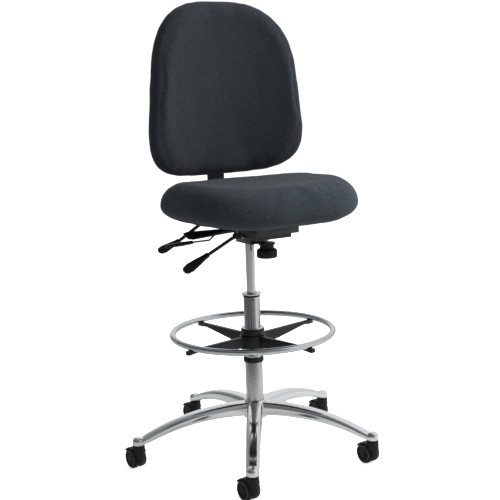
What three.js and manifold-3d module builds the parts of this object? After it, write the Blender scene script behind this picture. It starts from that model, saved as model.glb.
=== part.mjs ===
import * as THREE from 'three';
import { mergeVertices } from 'three/addons/utils/BufferGeometryUtils.js';
import manifoldModule from 'manifold-3d';

// Drafting chair. Millimetres, +Z up, the chair faces -Y and the sitter's right hand is at -X.
// Everything is drawn about the column axis. At the end the chair is centred on its footprint.

const wasm = await manifoldModule();
wasm.setup();

// ---- driving dimensions ----------------------------------------------------------------------

const gap = 0.3;                    // clearance between pieces that touch or slide
const swingGap = 1.8;               // clearance between pieces that turn past each other

// Heights of the casters are above the floor.
const caster = {
  heading: 96,                      // where the wheels trail, degrees
  wheelRadius: 30, wheelWidth: 18, wheelSides: 16, trail: 21, web: 8, axleRadius: 4, fender: 3,
  stemRadius: 5.5, stemInSocket: 16, stemInHood: 14, hoodRadius: 18.5, hoodRise: 9.6, hoodBottom: 13,
};
caster.hoodTop = 2 * caster.wheelRadius + swingGap + caster.fender + caster.hoodRise;
const standHeight = caster.hoodTop + 2 * gap;

// Heights of the base are above the underside of its caster sockets.
const base = {
  casterCircle: 369,                // radius of the circle of caster stems
  legs: 5,
  firstLeg: -123.2,                 // direction of the leg in front, degrees
  hubWall: 10.9, hubTopWall: 3.9, hubBottom: 43, hubShoulder: 88, hubTop: 100,
  ledgeHeight: 45, ledgeStep: 5.3,
  armTop: 96, armDrop: 81, armCurve: 2.6,
  armWidthHub: 50, armWidthEnd: 37, armDepthHub: 46, armDepthEnd: 23,
  socketWall: 13.2, socketShoulder: 9, socketDome: 13,
};

// Heights of the column and the foot ring are above the ledge in the base's hub.
const column = {
  sleeveRadius: 25, sleeveWall: 2.5, sleeveBottom: 4, sleeveFloor: 4, sleeveTop: 378,
  tubeWall: 1.5, tubeTop: 175, collarWall: 5.7, collarHeight: 15,
  bushingLength: 78, bushingLip: 5, topRingProud: 5, topRingHeight: 11,
  cylinderRadius: 14, cylinderWall: 3, cylinderBottom: 135, taperStart: 541, taperLength: 36.5,
  taperStep: 1.2, chamberFloor: 7, chamberRoof: 11,
  pistonRodRadius: 5, pistonRodProud: 10, pistonHead: 320, pistonHeight: 15,
  bearingRadius: 12, bearingHeight: 5.7, clipRadius: 9, clipHeight: 2.7,
  buttonRadius: 4, buttonProud: 15.2, buttonSocket: 7.5, buttonTravel: 4.2,
};
column.tubeRadius = column.sleeveRadius + gap + column.tubeWall;
column.taperTop = column.taperStart + column.taperLength;
column.taperRadius = column.cylinderRadius - column.taperStep;

const footRing = {
  radius: 254,                      // outside of the ring
  tube: 9.5,                        // radius of the ring's tube
  aboveTube: 17.7, hubDepth: 60, colletWall: 3, hubWall: 11.4, collarWall: 7.4, collarHeight: 25,
  firstSpoke: 11, spokes: 4, spokeWidth: 13, spokeTipDepth: 10, spokeRootDepth: 30, spokeTipLength: 30,
};
footRing.hubBottom = column.tubeTop + gap + column.collarHeight + footRing.aboveTube;
footRing.height = footRing.hubBottom + footRing.hubDepth;

// Heights of the mechanism, the seat and the back are above the top of the column's taper.
const tilt = { y: -60, z: 19.5, shaftRadius: 5 };          // axis of the seat tilt, along X
const recline = { y: 50, z: 11.5, shaftRadius: 5, knuckleRadius: 8.5, knuckleHalf: 30.5 };

const housing = {
  wall: 3, halfWidth: 61, front: -137, trayBack: -40, bottom: -8.5, trayTop: 14.5,
  lugHalf: 12, lugTop: 25, deckHalfWidth: 50, deckBottom: 4.5, deckTop: 10.5,
  keelHalfWidth: 30, keelFront: -58, keelBack: 30, keelBottom: -31.5, earTop: 20.5, earHalf: 12,
};
housing.rear = recline.y + housing.earHalf;

const tiltFrame = {
  swingRoom: 8, wall: 3, front: -161, back: 88, top: 30.5,
  deepBottom: 6.5, deepBack: -84, shallowBottom: 21.5, lugBottom: 10.5,
  railInset: 10.8, railWidth: 11.2, railHeight: 2.7,
};
tiltFrame.halfWidth = housing.halfWidth + tiltFrame.swingRoom + tiltFrame.wall;

const slide = { plate: 3.7, front: -150, back: 95, lip: 6, lipRoom: 0.8 };
slide.halfWidth = tiltFrame.halfWidth - tiltFrame.railInset + slide.lipRoom + slide.lip;
slide.top = tiltFrame.top + tiltFrame.railHeight + gap + slide.plate;

const knob = { y: -97, radius: 31, bottom: -67.5, skirt: 25, neckRadius: 25, top: -22.5, boltRadius: 5,
  boltTop: 22.5, boltInKnob: 8 };
const spring = { radius: 12, wire: 3, turns: 4 };
const nut = { halfSize: 11, bottom: 10.8, height: 7.7 };

const seat = {
  width: 555, front: -304, back: 181, squareness: 3.1, edgeReach: 55,
  edgeTop: 71.5, edgeBottom: 23.5, sideRise: 17, flatHalfWidth: 90,
  frontDrop: 4, dropStart: -120, dish: 10,
  board: 12, boardInset: 42, boardRest: 0.2,
};
seat.widest = slide.top + seat.boardRest + seat.board + 2 * gap + seat.edgeBottom;

const back = {
  halfWidth: 256, halfHeight: 267.7, bottom: 158.3, taper: 0.105,
  upperSquareness: 2.94, lowerSquareness: 4.17,
  thickness: 70, y: 167.5, lean: -0.03, wrap: 56, lumbar: 8,
  recessShare: 0.78, recessFloor: 3, board: 8, cover: 5, coverProud: 4,
};
back.middle = back.bottom + back.halfHeight;

const bar = { halfWidth: 29, thickness: 8, bottom: 18.5, slideRoom: 3, behindBack: 21.5, bend: 34,
  insideBack: 219.2 };
bar.start = slide.back + bar.slideRoom;
bar.riserFront = back.y + bar.behindBack;
bar.top = back.bottom + bar.insideBack;

const bracket = { halfWidth: 33, plate: 5.7, behindEars: 2, length: 88 };
const carrier = { halfWidth: 40, insideBack: 112.2, height: 90, wall: 3 };

// Levers on the sitter's right. A run is how far out a bend lies from the lever's pin.
const lever = { rod: 5.5, knuckle: 7, knuckleLength: 15, pin: 3, cheek: 3.7, gripClearance: 0.6,
  armThick: 4.2, armWidth: 8, gripTwist: -42, backGripTwist: -30 };
const heightLever = { x: -housing.halfWidth - 12, y: -52, z: -1.5, kinkRun: 18, kinkZ: -6.5,
  gripRun: 99, gripZ: -44.5, endRun: 179, endZ: -85.5 };
const backLever = { x: -bracket.halfWidth - 19, y: 141, z: 13.5, riseRun: 28, riseZ: 22,
  gripRun: 114, gripZ: -27.5, endRun: 184, endZ: -53.5 };
const depthLever = { x: -tiltFrame.halfWidth - 4, y: 25, z: 14.5, wire: 3, kneeRun: 22, kneeZ: 3.5,
  bendRun: 48, bendZ: -16.5, gripRun: 104, endRun: 192 };
const tiltPaddle = { root: -tiltFrame.halfWidth - 12, length: 162, rootWidth: 14, endWidth: 46,
  thickness: 11, twist: -20 };

// ---- small geometry tools --------------------------------------------------------------------

const radians = THREE.MathUtils.degToRad;
const vec = (x, y, z) => new THREE.Vector3(x, y, z);

// A closed manifold solid from a three.js geometry, with its faces pointing out.
function solid(geometry) {
  const bare = geometry.clone();
  bare.deleteAttribute('normal');
  bare.deleteAttribute('uv');
  const merged = mergeVertices(bare, 1e-4);
  const corners = merged.index.array;
  const triangles = [];
  for (let i = 0; i < corners.length; i += 3) {
    const [a, b, c] = [corners[i], corners[i + 1], corners[i + 2]];
    if (a !== b && b !== c && c !== a) triangles.push(a, b, c);
  }
  const vertProperties = new Float32Array(merged.attributes.position.array);
  const build = (list) => new wasm.Manifold(new wasm.Mesh({
    numProp: 3, vertProperties, triVerts: new Uint32Array(list),
  }));
  const body = build(triangles);
  if (body.volume() > 0) return body;
  const flipped = [];
  for (let i = 0; i < triangles.length; i += 3) {
    flipped.push(triangles[i], triangles[i + 2], triangles[i + 1]);
  }
  return build(flipped);
}

function geometryOf(body) {
  const mesh = body.getMesh();
  const geometry = new THREE.BufferGeometry();
  const count = mesh.vertProperties.length / mesh.numProp;
  const positions = new Float32Array(count * 3);
  for (let i = 0; i < count; i += 1) {
    for (let k = 0; k < 3; k += 1) positions[3 * i + k] = mesh.vertProperties[i * mesh.numProp + k];
  }
  geometry.setAttribute('position', new THREE.BufferAttribute(positions, 3));
  geometry.setIndex(new THREE.BufferAttribute(new Uint32Array(mesh.triVerts), 1));
  return geometry;
}

const join = (first, ...rest) => rest.reduce((sum, body) => sum.add(body), first);
const cut = (first, ...rest) => rest.reduce((left, body) => left.subtract(body), first);

function block(x0, x1, y0, y1, z0, z1) {
  const geometry = new THREE.BoxGeometry(x1 - x0, y1 - y0, z1 - z0);
  geometry.translate((x0 + x1) / 2, (y0 + y1) / 2, (z0 + z1) / 2);
  return solid(geometry);
}

// A round bar between two points.
function rod(from, to, radius, sides = 12, endRadius = radius) {
  const along = to.clone().sub(from);
  const geometry = new THREE.CylinderGeometry(endRadius, radius, along.length(), sides);
  geometry.applyQuaternion(new THREE.Quaternion().setFromUnitVectors(vec(0, 1, 0),
    along.clone().normalize()));
  geometry.translate((from.x + to.x) / 2, (from.y + to.y) / 2, (from.z + to.z) / 2);
  return solid(geometry);
}

const post = (x, y, z0, z1, radius, sides) => rod(vec(x, y, z0), vec(x, y, z1), radius, sides);
const crossBar = (x0, x1, y, z, radius, sides) => rod(vec(x0, y, z), vec(x1, y, z), radius, sides);
const lengthBar = (y0, y1, x, z, radius, sides) => rod(vec(x, y0, z), vec(x, y1, z), radius, sides);

// A solid turned about the vertical axis from points [radius, height]. A profile that stays off
// the axis is closed on itself.
function turned(profile, sides = 24) {
  const points = profile.map(([r, z]) => new THREE.Vector2(r, z));
  if (profile[0][0] > 0) points.push(points[0].clone());
  const geometry = new THREE.LatheGeometry(points, sides);
  geometry.rotateX(Math.PI / 2);
  return solid(geometry);
}

const sleeve = (inner, outer, z0, z1, sides) => turned([
  [inner, z0], [outer, z0], [outer, z1], [inner, z1],
], sides);

// A solid between rings of points, all with the same number of points, with a cap at each end.
function loft(rings) {
  const size = rings[0].length;
  const positions = [];
  const index = [];
  for (const ring of rings) for (const p of ring) positions.push(p.x, p.y, p.z);
  for (let j = 0; j + 1 < rings.length; j += 1) {
    for (let i = 0; i < size; i += 1) {
      const [a, b] = [j * size + i, j * size + ((i + 1) % size)];
      index.push(a, b, b + size, a, b + size, a + size);
    }
  }
  for (const [ring, start] of [[rings[0], 0], [rings.at(-1), (rings.length - 1) * size]]) {
    const middle = ring.reduce((sum, p) => sum.add(p), vec(0, 0, 0)).divideScalar(size);
    const centre = positions.length / 3;
    positions.push(middle.x, middle.y, middle.z);
    for (let i = 0; i < size; i += 1) {
      const [a, b] = [start + i, start + ((i + 1) % size)];
      index.push(...(start === 0 ? [b, a, centre] : [a, b, centre]));
    }
  }
  const geometry = new THREE.BufferGeometry();
  geometry.setAttribute('position', new THREE.BufferAttribute(new Float32Array(positions), 3));
  geometry.setIndex(index);
  return solid(geometry);
}

// A flat outline of [u, v] points, extruded by a depth, then laid out by a function of (u, v, w).
function extruded(outline, depth, place) {
  const shape = new THREE.Shape(outline.map(([u, v]) => new THREE.Vector2(u, v)));
  const geometry = new THREE.ExtrudeGeometry(shape, { depth, bevelEnabled: false, curveSegments: 8 });
  const position = geometry.attributes.position;
  for (let i = 0; i < position.count; i += 1) {
    const p = place(position.getX(i), position.getY(i), position.getZ(i));
    position.setXYZ(i, p.x, p.y, p.z);
  }
  return solid(geometry);
}

// A side profile of [y, z] points, as thick as x0 to x1.
const sidePlate = (outline, x0, x1) => extruded(outline, x1 - x0, (y, z, w) => vec(x0 + w, y, z));

// A round tube along a curve.
function tubeAlong(curve, radius, steps, sides) {
  const section = new THREE.Shape();
  for (let i = 0; i < sides; i += 1) {
    const a = (2 * Math.PI * i) / sides;
    section[i ? 'lineTo' : 'moveTo'](radius * Math.cos(a), radius * Math.sin(a));
  }
  section.closePath();
  return solid(new THREE.ExtrudeGeometry(section, { extrudePath: curve, steps, bevelEnabled: false }));
}

// A point on a rounded rectangle, by its angle.
function squircle(angle, halfX, halfY, squareness) {
  const power = 2 / squareness;
  const [c, s] = [Math.cos(angle), Math.sin(angle)];
  return [Math.sign(c) * Math.abs(c) ** power * halfX, Math.sign(s) * Math.abs(s) ** power * halfY];
}

// A paddle: rounded sections along the line from start to end, from [share, width, thickness].
function paddle(start, end, stations, twist = 0) {
  const along = end.clone().sub(start);
  const axis = along.clone().normalize();
  const side = vec(0, 1, 0).applyAxisAngle(axis, twist);
  const up = axis.clone().cross(side).normalize();
  return loft(stations.map(([share, width, thickness]) => {
    const middle = start.clone().addScaledVector(along, share);
    return Array.from({ length: 12 }, (_, i) => {
      const [u, v] = squircle((2 * Math.PI * i) / 12, width / 2, thickness / 2, 2.4);
      return middle.clone().addScaledVector(side, u).addScaledVector(up, v);
    });
  }));
}

// ---- the scene graph -------------------------------------------------------------------------

const chair = new THREE.Group();

// A group at a height above the floor.
function level(height) {
  const group = new THREE.Group();
  group.position.z = height;
  chair.add(group);
  return group;
}
const stand = level(standHeight);
const pillar = level(standHeight + base.ledgeHeight);
const upper = level(standHeight + base.ledgeHeight + column.taperTop);

function piece(name, body, color, roughness, metalness, parent) {
  const mesh = new THREE.Mesh(geometryOf(body),
    new THREE.MeshStandardMaterial({ color, roughness, metalness }));
  mesh.name = name;
  parent.add(mesh);
  return mesh;
}

const chromed = [0xd4d7da, 0.08, 1];
const polished = [0xc9cbce, 0.18, 1];
const steel = [0x9a9da0, 0.35, 1];
const blackPaint = [0x1c1d1f, 0.45, 0.2];
const blackPlastic = [0x17181a, 0.5, 0];
const fabric = [0x33383d, 0.95, 0];
const plywood = [0xa98a5f, 0.7, 0];

// ---- star base -------------------------------------------------------------------------------

function starBase() {
  const armTopAt = (r) => base.armTop - base.armDrop * (r / base.casterCircle) ** base.armCurve;
  const share = (r) => r / base.casterCircle;
  const stations = [12, 90, 170, 245, 310, base.casterCircle + 5];
  const rings = stations.map((r) => {
    const width = base.armWidthHub + (base.armWidthEnd - base.armWidthHub) * share(r);
    const tapered = base.armDepthHub + (base.armDepthEnd - base.armDepthHub) * share(r) ** 0.8;
    const depth = Math.min(tapered, armTopAt(r));
    return Array.from({ length: 8 }, (_, i) => {
      const [y, z] = squircle((2 * Math.PI * (i + 0.5)) / 8, width / 2, depth / 2, 2.6);
      return vec(r, y, armTopAt(r) - depth / 2 + z);
    });
  });
  const arm = loft(rings);
  const stemHole = caster.stemRadius + gap;
  const socketRadius = stemHole + base.socketWall;
  const socket = turned([
    [0, 0], [socketRadius, 0], [socketRadius, base.socketShoulder],
    [socketRadius * 0.92, base.socketShoulder + base.socketDome * 0.4],
    [socketRadius * 0.6, base.socketShoulder + base.socketDome * 0.8],
    [0, base.socketShoulder + base.socketDome],
  ], 12).translate([base.casterCircle, 0, 0]);
  const stemBore = post(base.casterCircle, 0, -1, caster.stemInSocket + gap, stemHole, 12);
  const tubeHole = column.tubeRadius + gap;
  const [hubRadius, hubTopRadius] = [tubeHole + base.hubWall, tubeHole + base.hubTopWall];
  let body = turned([
    [0, base.hubBottom], [hubRadius, base.hubBottom], [hubRadius, base.hubShoulder],
    [hubTopRadius + 3, base.hubTop - 4], [hubTopRadius, base.hubTop], [0, base.hubTop],
  ]);
  for (let leg = 0; leg < base.legs; leg += 1) {
    const angle = base.firstLeg + (360 / base.legs) * leg;
    body = body.add(cut(join(arm, socket), stemBore).rotate([0, 0, angle]));
  }
  const tubeBore = post(0, 0, base.ledgeHeight, base.hubTop + 1, tubeHole, 24);
  const ledgeBore = post(0, 0, base.hubBottom - 1, base.ledgeHeight + 1,
    column.sleeveRadius + gap - base.ledgeStep, 24);
  return cut(body, tubeBore, ledgeBore);
}
piece('star_base', starBase(), ...polished, stand);

// ---- casters ---------------------------------------------------------------------------------

// Drawn with the stem on the axis and the wheels trailing along +X.
function casterStem() {
  return post(0, 0, caster.hoodTop - caster.stemInHood, standHeight + caster.stemInSocket,
    caster.stemRadius, 12);
}

function casterHood() {
  const { wheelRadius, wheelWidth, trail, web, hoodRadius, hoodTop, hoodBottom, fender,
    stemInHood } = caster;
  const halfSpan = web / 2 + gap + wheelWidth;
  const legBody = turned([
    [0, hoodBottom], [hoodRadius * 0.7, hoodBottom + 2], [hoodRadius, hoodBottom + 12],
    [hoodRadius, hoodTop - 2], [hoodRadius - 2, hoodTop], [0, hoodTop],
  ], 12);
  const cover = lengthBar(-halfSpan, halfSpan, trail, wheelRadius, wheelRadius + swingGap + fender, 16);
  const coverLow = block(-60, trail + 60, -60, 60, -10, wheelRadius + 6);
  const middle = lengthBar(-web / 2, web / 2, trail, wheelRadius, wheelRadius - 6, 12);
  let body = join(legBody, cut(cover, coverLow), middle);
  for (const side of [-1, 1]) {
    const [near, far] = [side * (web / 2), side * (halfSpan + 1)];
    body = body.subtract(lengthBar(Math.min(near, far), Math.max(near, far), trail, wheelRadius,
      wheelRadius + swingGap, 16));
  }
  const axle = lengthBar(-halfSpan + 4, halfSpan - 4, trail, wheelRadius, caster.axleRadius, 8);
  const stemBore = post(0, 0, hoodTop - stemInHood - gap, hoodTop + 1, caster.stemRadius + gap, 12);
  return cut(body.add(axle), stemBore);
}

// One wheel about its own axis, with its inner face at zero and its outer face up, flats square to X.
function casterWheel() {
  const { wheelWidth: w, axleRadius, wheelSides } = caster;
  const corner = caster.wheelRadius / Math.cos(Math.PI / wheelSides);
  const bore = axleRadius + gap;
  return turned([
    [0, w - 3.5], [bore, w - 3.5], [bore, 0], [corner - 2, 0], [corner, 2], [corner, w - 3],
    [corner - 4, w], [0, w],
  ], wheelSides).rotate([0, 0, 180 / wheelSides]);
}

const legNames = ['front', 'right', 'rear_right', 'rear_left', 'left'];
for (let leg = 0; leg < base.legs; leg += 1) {
  const angle = radians(base.firstLeg + (360 / base.legs) * leg);
  const swivel = new THREE.Group();
  swivel.position.set(base.casterCircle * Math.cos(angle), base.casterCircle * Math.sin(angle), 0);
  swivel.rotation.z = radians(caster.heading);
  chair.add(swivel);
  const name = `caster_${legNames[leg]}`;
  piece(`${name}_stem`, casterStem(), ...steel, swivel);
  piece(`${name}_hood`, casterHood(), ...blackPlastic, swivel);
  for (const side of [-1, 1]) {
    const wheel = piece(`${name}_wheel_${side < 0 ? 'a' : 'b'}`, casterWheel(), ...blackPlastic, swivel);
    wheel.position.set(caster.trail, side * (caster.web / 2 + gap), caster.wheelRadius);
    wheel.rotation.x = (-side * Math.PI) / 2;
  }
}

// ---- column ----------------------------------------------------------------------------------

const sleeveBore = column.sleeveRadius - column.sleeveWall;
const rodHole = column.pistonRodRadius + gap;

piece('column_tube', sleeve(column.sleeveRadius + gap, column.tubeRadius, gap, column.tubeTop),
  ...steel, pillar);

const collarBottom = column.tubeTop + gap;
const collarTop = collarBottom + column.collarHeight;
const collarRadius = column.sleeveRadius + gap + column.collarWall;
piece('column_tube_collar', turned([
  [column.sleeveRadius + gap, collarBottom], [collarRadius, collarBottom], [collarRadius, collarTop - 3],
  [collarRadius - 2, collarTop], [column.sleeveRadius + gap, collarTop],
]), ...blackPlastic, pillar);

const floorTop = column.sleeveBottom + column.sleeveFloor;
piece('gas_spring_sleeve', turned([
  [rodHole, column.sleeveBottom], [column.sleeveRadius, column.sleeveBottom],
  [column.sleeveRadius, column.sleeveTop], [sleeveBore, column.sleeveTop],
  [sleeveBore, floorTop], [rodHole, floorTop],
]), ...chromed, pillar);

const slideBore = column.cylinderRadius + gap;
const lipBottom = column.sleeveTop + gap;
const lipTop = lipBottom + column.bushingLip;
const lipRadius = column.sleeveRadius + 1.5;
const bushingBottom = column.sleeveTop - column.bushingLength;
piece('guide_bushing', turned([
  [slideBore, bushingBottom], [sleeveBore - gap, bushingBottom], [sleeveBore - gap, lipBottom],
  [lipRadius, lipBottom], [lipRadius, lipTop], [slideBore, lipTop],
]), ...blackPlastic, pillar);

const ringBottom = lipTop + gap;
const ringTop = ringBottom + column.topRingHeight - column.bushingLip;
const ringRadius = column.sleeveRadius + column.topRingProud;
piece('sleeve_top_ring', turned([
  [slideBore + 0.5, ringBottom], [ringRadius - 1.5, ringBottom], [ringRadius, ringBottom + 2],
  [ringRadius, ringTop - 2], [ringRadius - 1.5, ringTop], [slideBore + 0.5, ringTop],
]), ...chromed, pillar);

piece('thrust_bearing', sleeve(rodHole, column.bearingRadius, floorTop + gap,
  floorTop + gap + column.bearingHeight, 24), ...steel, pillar);
piece('retaining_clip',
  sleeve(rodHole, column.clipRadius, column.sleeveBottom - gap - column.clipHeight,
    column.sleeveBottom - gap, 20), ...steel, pillar);

const chamber = column.cylinderRadius - column.cylinderWall;
const rodBottom = column.sleeveBottom - column.pistonRodProud;
piece('piston_rod', turned([
  [0, rodBottom], [column.pistonRodRadius, rodBottom], [column.pistonRodRadius, column.pistonHead],
  [chamber - gap, column.pistonHead], [chamber - gap, column.pistonHead + column.pistonHeight],
  [0, column.pistonHead + column.pistonHeight],
], 20), ...steel, pillar);

const buttonBore = column.buttonRadius + gap;
const buttonFloor = column.taperTop - column.buttonSocket;
const chamberBottom = column.cylinderBottom + column.chamberFloor;
const chamberTop = column.taperStart - column.chamberRoof;
piece('gas_cylinder', turned([
  [0, chamberTop], [chamber, chamberTop], [chamber, chamberBottom], [rodHole, chamberBottom],
  [rodHole, column.cylinderBottom], [column.cylinderRadius, column.cylinderBottom],
  [column.cylinderRadius, column.taperStart], [column.taperRadius, column.taperTop],
  [buttonBore, column.taperTop], [buttonBore, buttonFloor], [0, buttonFloor],
]), ...chromed, pillar);

const buttonBottom = buttonFloor + column.buttonTravel + gap;
const buttonTop = column.taperTop + column.buttonProud;
piece('valve_button', post(0, 0, buttonBottom, buttonTop, column.buttonRadius, 16), ...steel, pillar);

// ---- foot ring -------------------------------------------------------------------------------

const spokeTop = footRing.height - footRing.tube - gap;
const hubBore = column.sleeveRadius + gap + footRing.colletWall + gap;
const lockBottom = spokeTop;
const spiderRadius = hubBore + footRing.hubWall;
const lockRadius = hubBore + footRing.collarWall;

piece('foot_ring_tube', solid(new THREE.TorusGeometry(footRing.radius - footRing.tube, footRing.tube, 8, 36)
  .translate(0, 0, footRing.height)), ...chromed, pillar);

function spider() {
  const hub = turned([
    [0, footRing.hubBottom], [spiderRadius - 6, footRing.hubBottom],
    [spiderRadius, footRing.hubBottom + 14], [spiderRadius, spokeTop], [0, spokeTop],
  ]);
  const tip = footRing.radius + 4;
  const profile = [
    [0, spokeTop], [0, spokeTop - footRing.spokeRootDepth - 8],
    [spiderRadius, spokeTop - footRing.spokeRootDepth - 4],
    [spiderRadius + 60, spokeTop - footRing.spokeRootDepth],
    [tip - footRing.spokeTipLength - 14, spokeTop - footRing.spokeTipDepth],
    [tip, spokeTop - footRing.spokeTipDepth - 2], [tip, spokeTop],
  ];
  const half = footRing.spokeWidth / 2;
  const spoke = extruded(profile, footRing.spokeWidth, (r, z, w) => vec(r, w - half, z));
  let body = hub;
  for (let i = 0; i < footRing.spokes; i += 1) {
    body = body.add(spoke.rotate([0, 0, footRing.firstSpoke + (360 / footRing.spokes) * i]));
  }
  return cut(body, post(0, 0, footRing.hubBottom - 1, spokeTop + 1, hubBore, 24));
}
piece('foot_ring_spider', spider(), ...blackPlastic, pillar);

piece('foot_ring_collet', sleeve(column.sleeveRadius + gap, hubBore - gap, footRing.hubBottom + 2,
  lockBottom + footRing.collarHeight - 4), ...blackPlastic, pillar);
const lockTop = lockBottom + footRing.collarHeight;
const lockLip = column.sleeveRadius + 2 * gap;
piece('foot_ring_lock_collar', turned([
  [hubBore, lockBottom + gap], [lockRadius, lockBottom + gap], [lockRadius, lockTop - 3],
  [lockRadius - 3, lockTop], [lockLip, lockTop], [lockLip, lockTop - 3.5], [hubBore, lockTop - 3.5],
]), ...blackPlastic, pillar);

// ---- mechanism -------------------------------------------------------------------------------

// Two cheeks and their pin holes, for a lever whose pin lies along Y.
function leverFork(x0, x1, y, z, z0, z1) {
  const inner = lever.knuckleLength / 2 + gap;
  const outer = inner + lever.cheek;
  const cheeks = join(block(x0, x1, y - outer, y - inner, z0, z1),
    block(x0, x1, y + inner, y + outer, z0, z1));
  return [cheeks, [y - outer - 1, y + outer + 1, z]];
}

function mechanismHousing() {
  const h = housing;
  const tray = cut(
    block(-h.halfWidth, h.halfWidth, h.front, h.trayBack, h.bottom, h.trayTop),
    block(-h.halfWidth + h.wall, h.halfWidth - h.wall, h.front + h.wall, h.trayBack - h.wall,
      h.bottom + h.wall, h.trayTop + 1),
  );
  const lugs = [-1, 1].map((side) => {
    const [a, b] = [side * h.halfWidth, side * (h.halfWidth - h.wall)];
    return block(Math.min(a, b), Math.max(a, b), tilt.y - h.lugHalf, tilt.y + h.lugHalf, h.trayTop - 4,
      h.lugTop);
  });
  const deck = block(-h.deckHalfWidth, h.deckHalfWidth, h.trayBack - 1, h.rear, h.deckBottom, h.deckTop);
  const keel = block(-h.keelHalfWidth, h.keelHalfWidth, h.keelFront, h.keelBack, h.keelBottom,
    h.deckTop - 1);
  const [earInner, earFront] = [recline.knuckleHalf + 1, recline.y - h.earHalf];
  const ears = [-1, 1].map((side) => {
    const [a, b] = [side * earInner, side * h.deckHalfWidth];
    return block(Math.min(a, b), Math.max(a, b), earFront, h.rear, h.deckBottom, h.earTop);
  });
  const knuckleRoom = block(-earInner, earInner, earFront, h.rear + 1, h.deckBottom - 1, h.earTop + 1);
  const [fork, [y0, y1, z]] = leverFork(heightLever.x - 9, -h.halfWidth + 1, heightLever.y, heightLever.z,
    h.bottom, heightLever.z + 6.5);
  const forkPin = lengthBar(y0, y1, heightLever.x, z, lever.pin + gap, 12);
  const body = join(tray, ...lugs, deck, keel, ...ears, fork);
  return cut(
    body, knuckleRoom, forkPin,
    crossBar(-h.halfWidth - 1, h.halfWidth + 1, tilt.y, tilt.z, tilt.shaftRadius + gap, 20),
    crossBar(-h.deckHalfWidth - 1, h.deckHalfWidth + 1, recline.y, recline.z, recline.shaftRadius + gap,
      20),
    rod(vec(0, 0, -column.taperLength - 6), vec(0, 0, gap), column.cylinderRadius + gap + 0.2, 24,
      column.taperRadius + gap),
    post(0, 0, h.keelBottom - 1, 4 - column.taperLength, column.cylinderRadius + gap, 24),
    post(0, 0, 0, h.deckTop + 1, buttonBore, 16),
    post(0, knob.y, h.bottom - 1, h.bottom + h.wall + 1, knob.boltRadius + gap, 16),
  );
}
piece('mechanism_housing', mechanismHousing(), ...blackPaint, upper);

function seatTiltFrame() {
  const f = tiltFrame;
  const topUnder = f.top - f.wall;
  const side = [
    [f.front, f.top], [f.front, f.deepBottom], [f.deepBack, f.deepBottom], [f.deepBack + 6, f.lugBottom],
    [tilt.y + 11, f.lugBottom], [tilt.y + 17, f.shallowBottom], [f.back, f.shallowBottom], [f.back, f.top],
  ];
  const flanges = [-1, 1].map((s) => {
    const [a, b] = [s * f.halfWidth, s * (f.halfWidth - f.wall)];
    return sidePlate(side, Math.min(a, b), Math.max(a, b));
  });
  const plate = block(-f.halfWidth, f.halfWidth, f.front, f.back, topUnder, f.top);
  const nose = block(-f.halfWidth, f.halfWidth, f.front, f.front + f.wall, f.deepBottom, f.top);
  const railOuter = f.halfWidth - f.railInset;
  const rails = [-1, 1].map((s) => {
    const [a, b] = [s * (railOuter - f.railWidth), s * railOuter];
    return block(Math.min(a, b), Math.max(a, b), f.front, f.back, f.top - 1, f.top + f.railHeight);
  });
  const wireLug = block(-f.halfWidth - 4, -f.halfWidth + 1, depthLever.y - 8, depthLever.y + 8,
    f.shallowBottom, f.top - 2);
  return cut(
    join(plate, nose, ...flanges, ...rails, wireLug),
    crossBar(-f.halfWidth - 1, f.halfWidth + 1, tilt.y, tilt.z, tilt.shaftRadius + gap, 20),
  );
}
piece('seat_tilt_frame', seatTiltFrame(), ...blackPaint, upper);

// Spring, bolt, nut and knob of the tension adjuster, all on one upright axis.
function tiltSpring() {
  const bottom = housing.bottom + housing.wall + gap + spring.wire / 2;
  const top = nut.bottom - gap - spring.wire / 2;
  class Helix extends THREE.Curve {
    getPoint(t, target = new THREE.Vector3()) {
      const a = 2 * Math.PI * spring.turns * t;
      return target.set(spring.radius * Math.cos(a), knob.y + spring.radius * Math.sin(a),
        bottom + (top - bottom) * t);
    }
  }
  return tubeAlong(new Helix(), spring.wire / 2 - 0.15, spring.turns * 10, 5);
}
piece('tension_spring', tiltSpring(), ...steel, upper);
piece('tension_bolt', post(0, knob.y, knob.top - knob.boltInKnob, knob.boltTop, knob.boltRadius, 16),
  ...steel, upper);
piece('tension_nut', cut(
  block(-nut.halfSize, nut.halfSize, knob.y - nut.halfSize, knob.y + nut.halfSize, nut.bottom,
    nut.bottom + nut.height),
  post(0, knob.y, nut.bottom - 1, nut.bottom + nut.height + 1, knob.boltRadius + gap, 16),
), ...steel, upper);
piece('tension_knob', cut(
  turned([
    [0, knob.bottom], [knob.radius - 4, knob.bottom], [knob.radius, knob.bottom + 4],
    [knob.radius, knob.bottom + knob.skirt - 3], [knob.radius - 3, knob.bottom + knob.skirt],
    [knob.neckRadius, knob.bottom + knob.skirt + 3], [knob.neckRadius, knob.top], [0, knob.top],
  ]).translate([0, knob.y, 0]),
  post(0, knob.y, knob.top - knob.boltInKnob - gap, knob.top + 1, knob.boltRadius + gap, 16),
), ...blackPlastic, upper);

piece('recline_shaft',
  crossBar(-housing.deckHalfWidth - 3, housing.deckHalfWidth + 3, recline.y, recline.z,
    recline.shaftRadius, 20), ...steel, upper);

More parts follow.
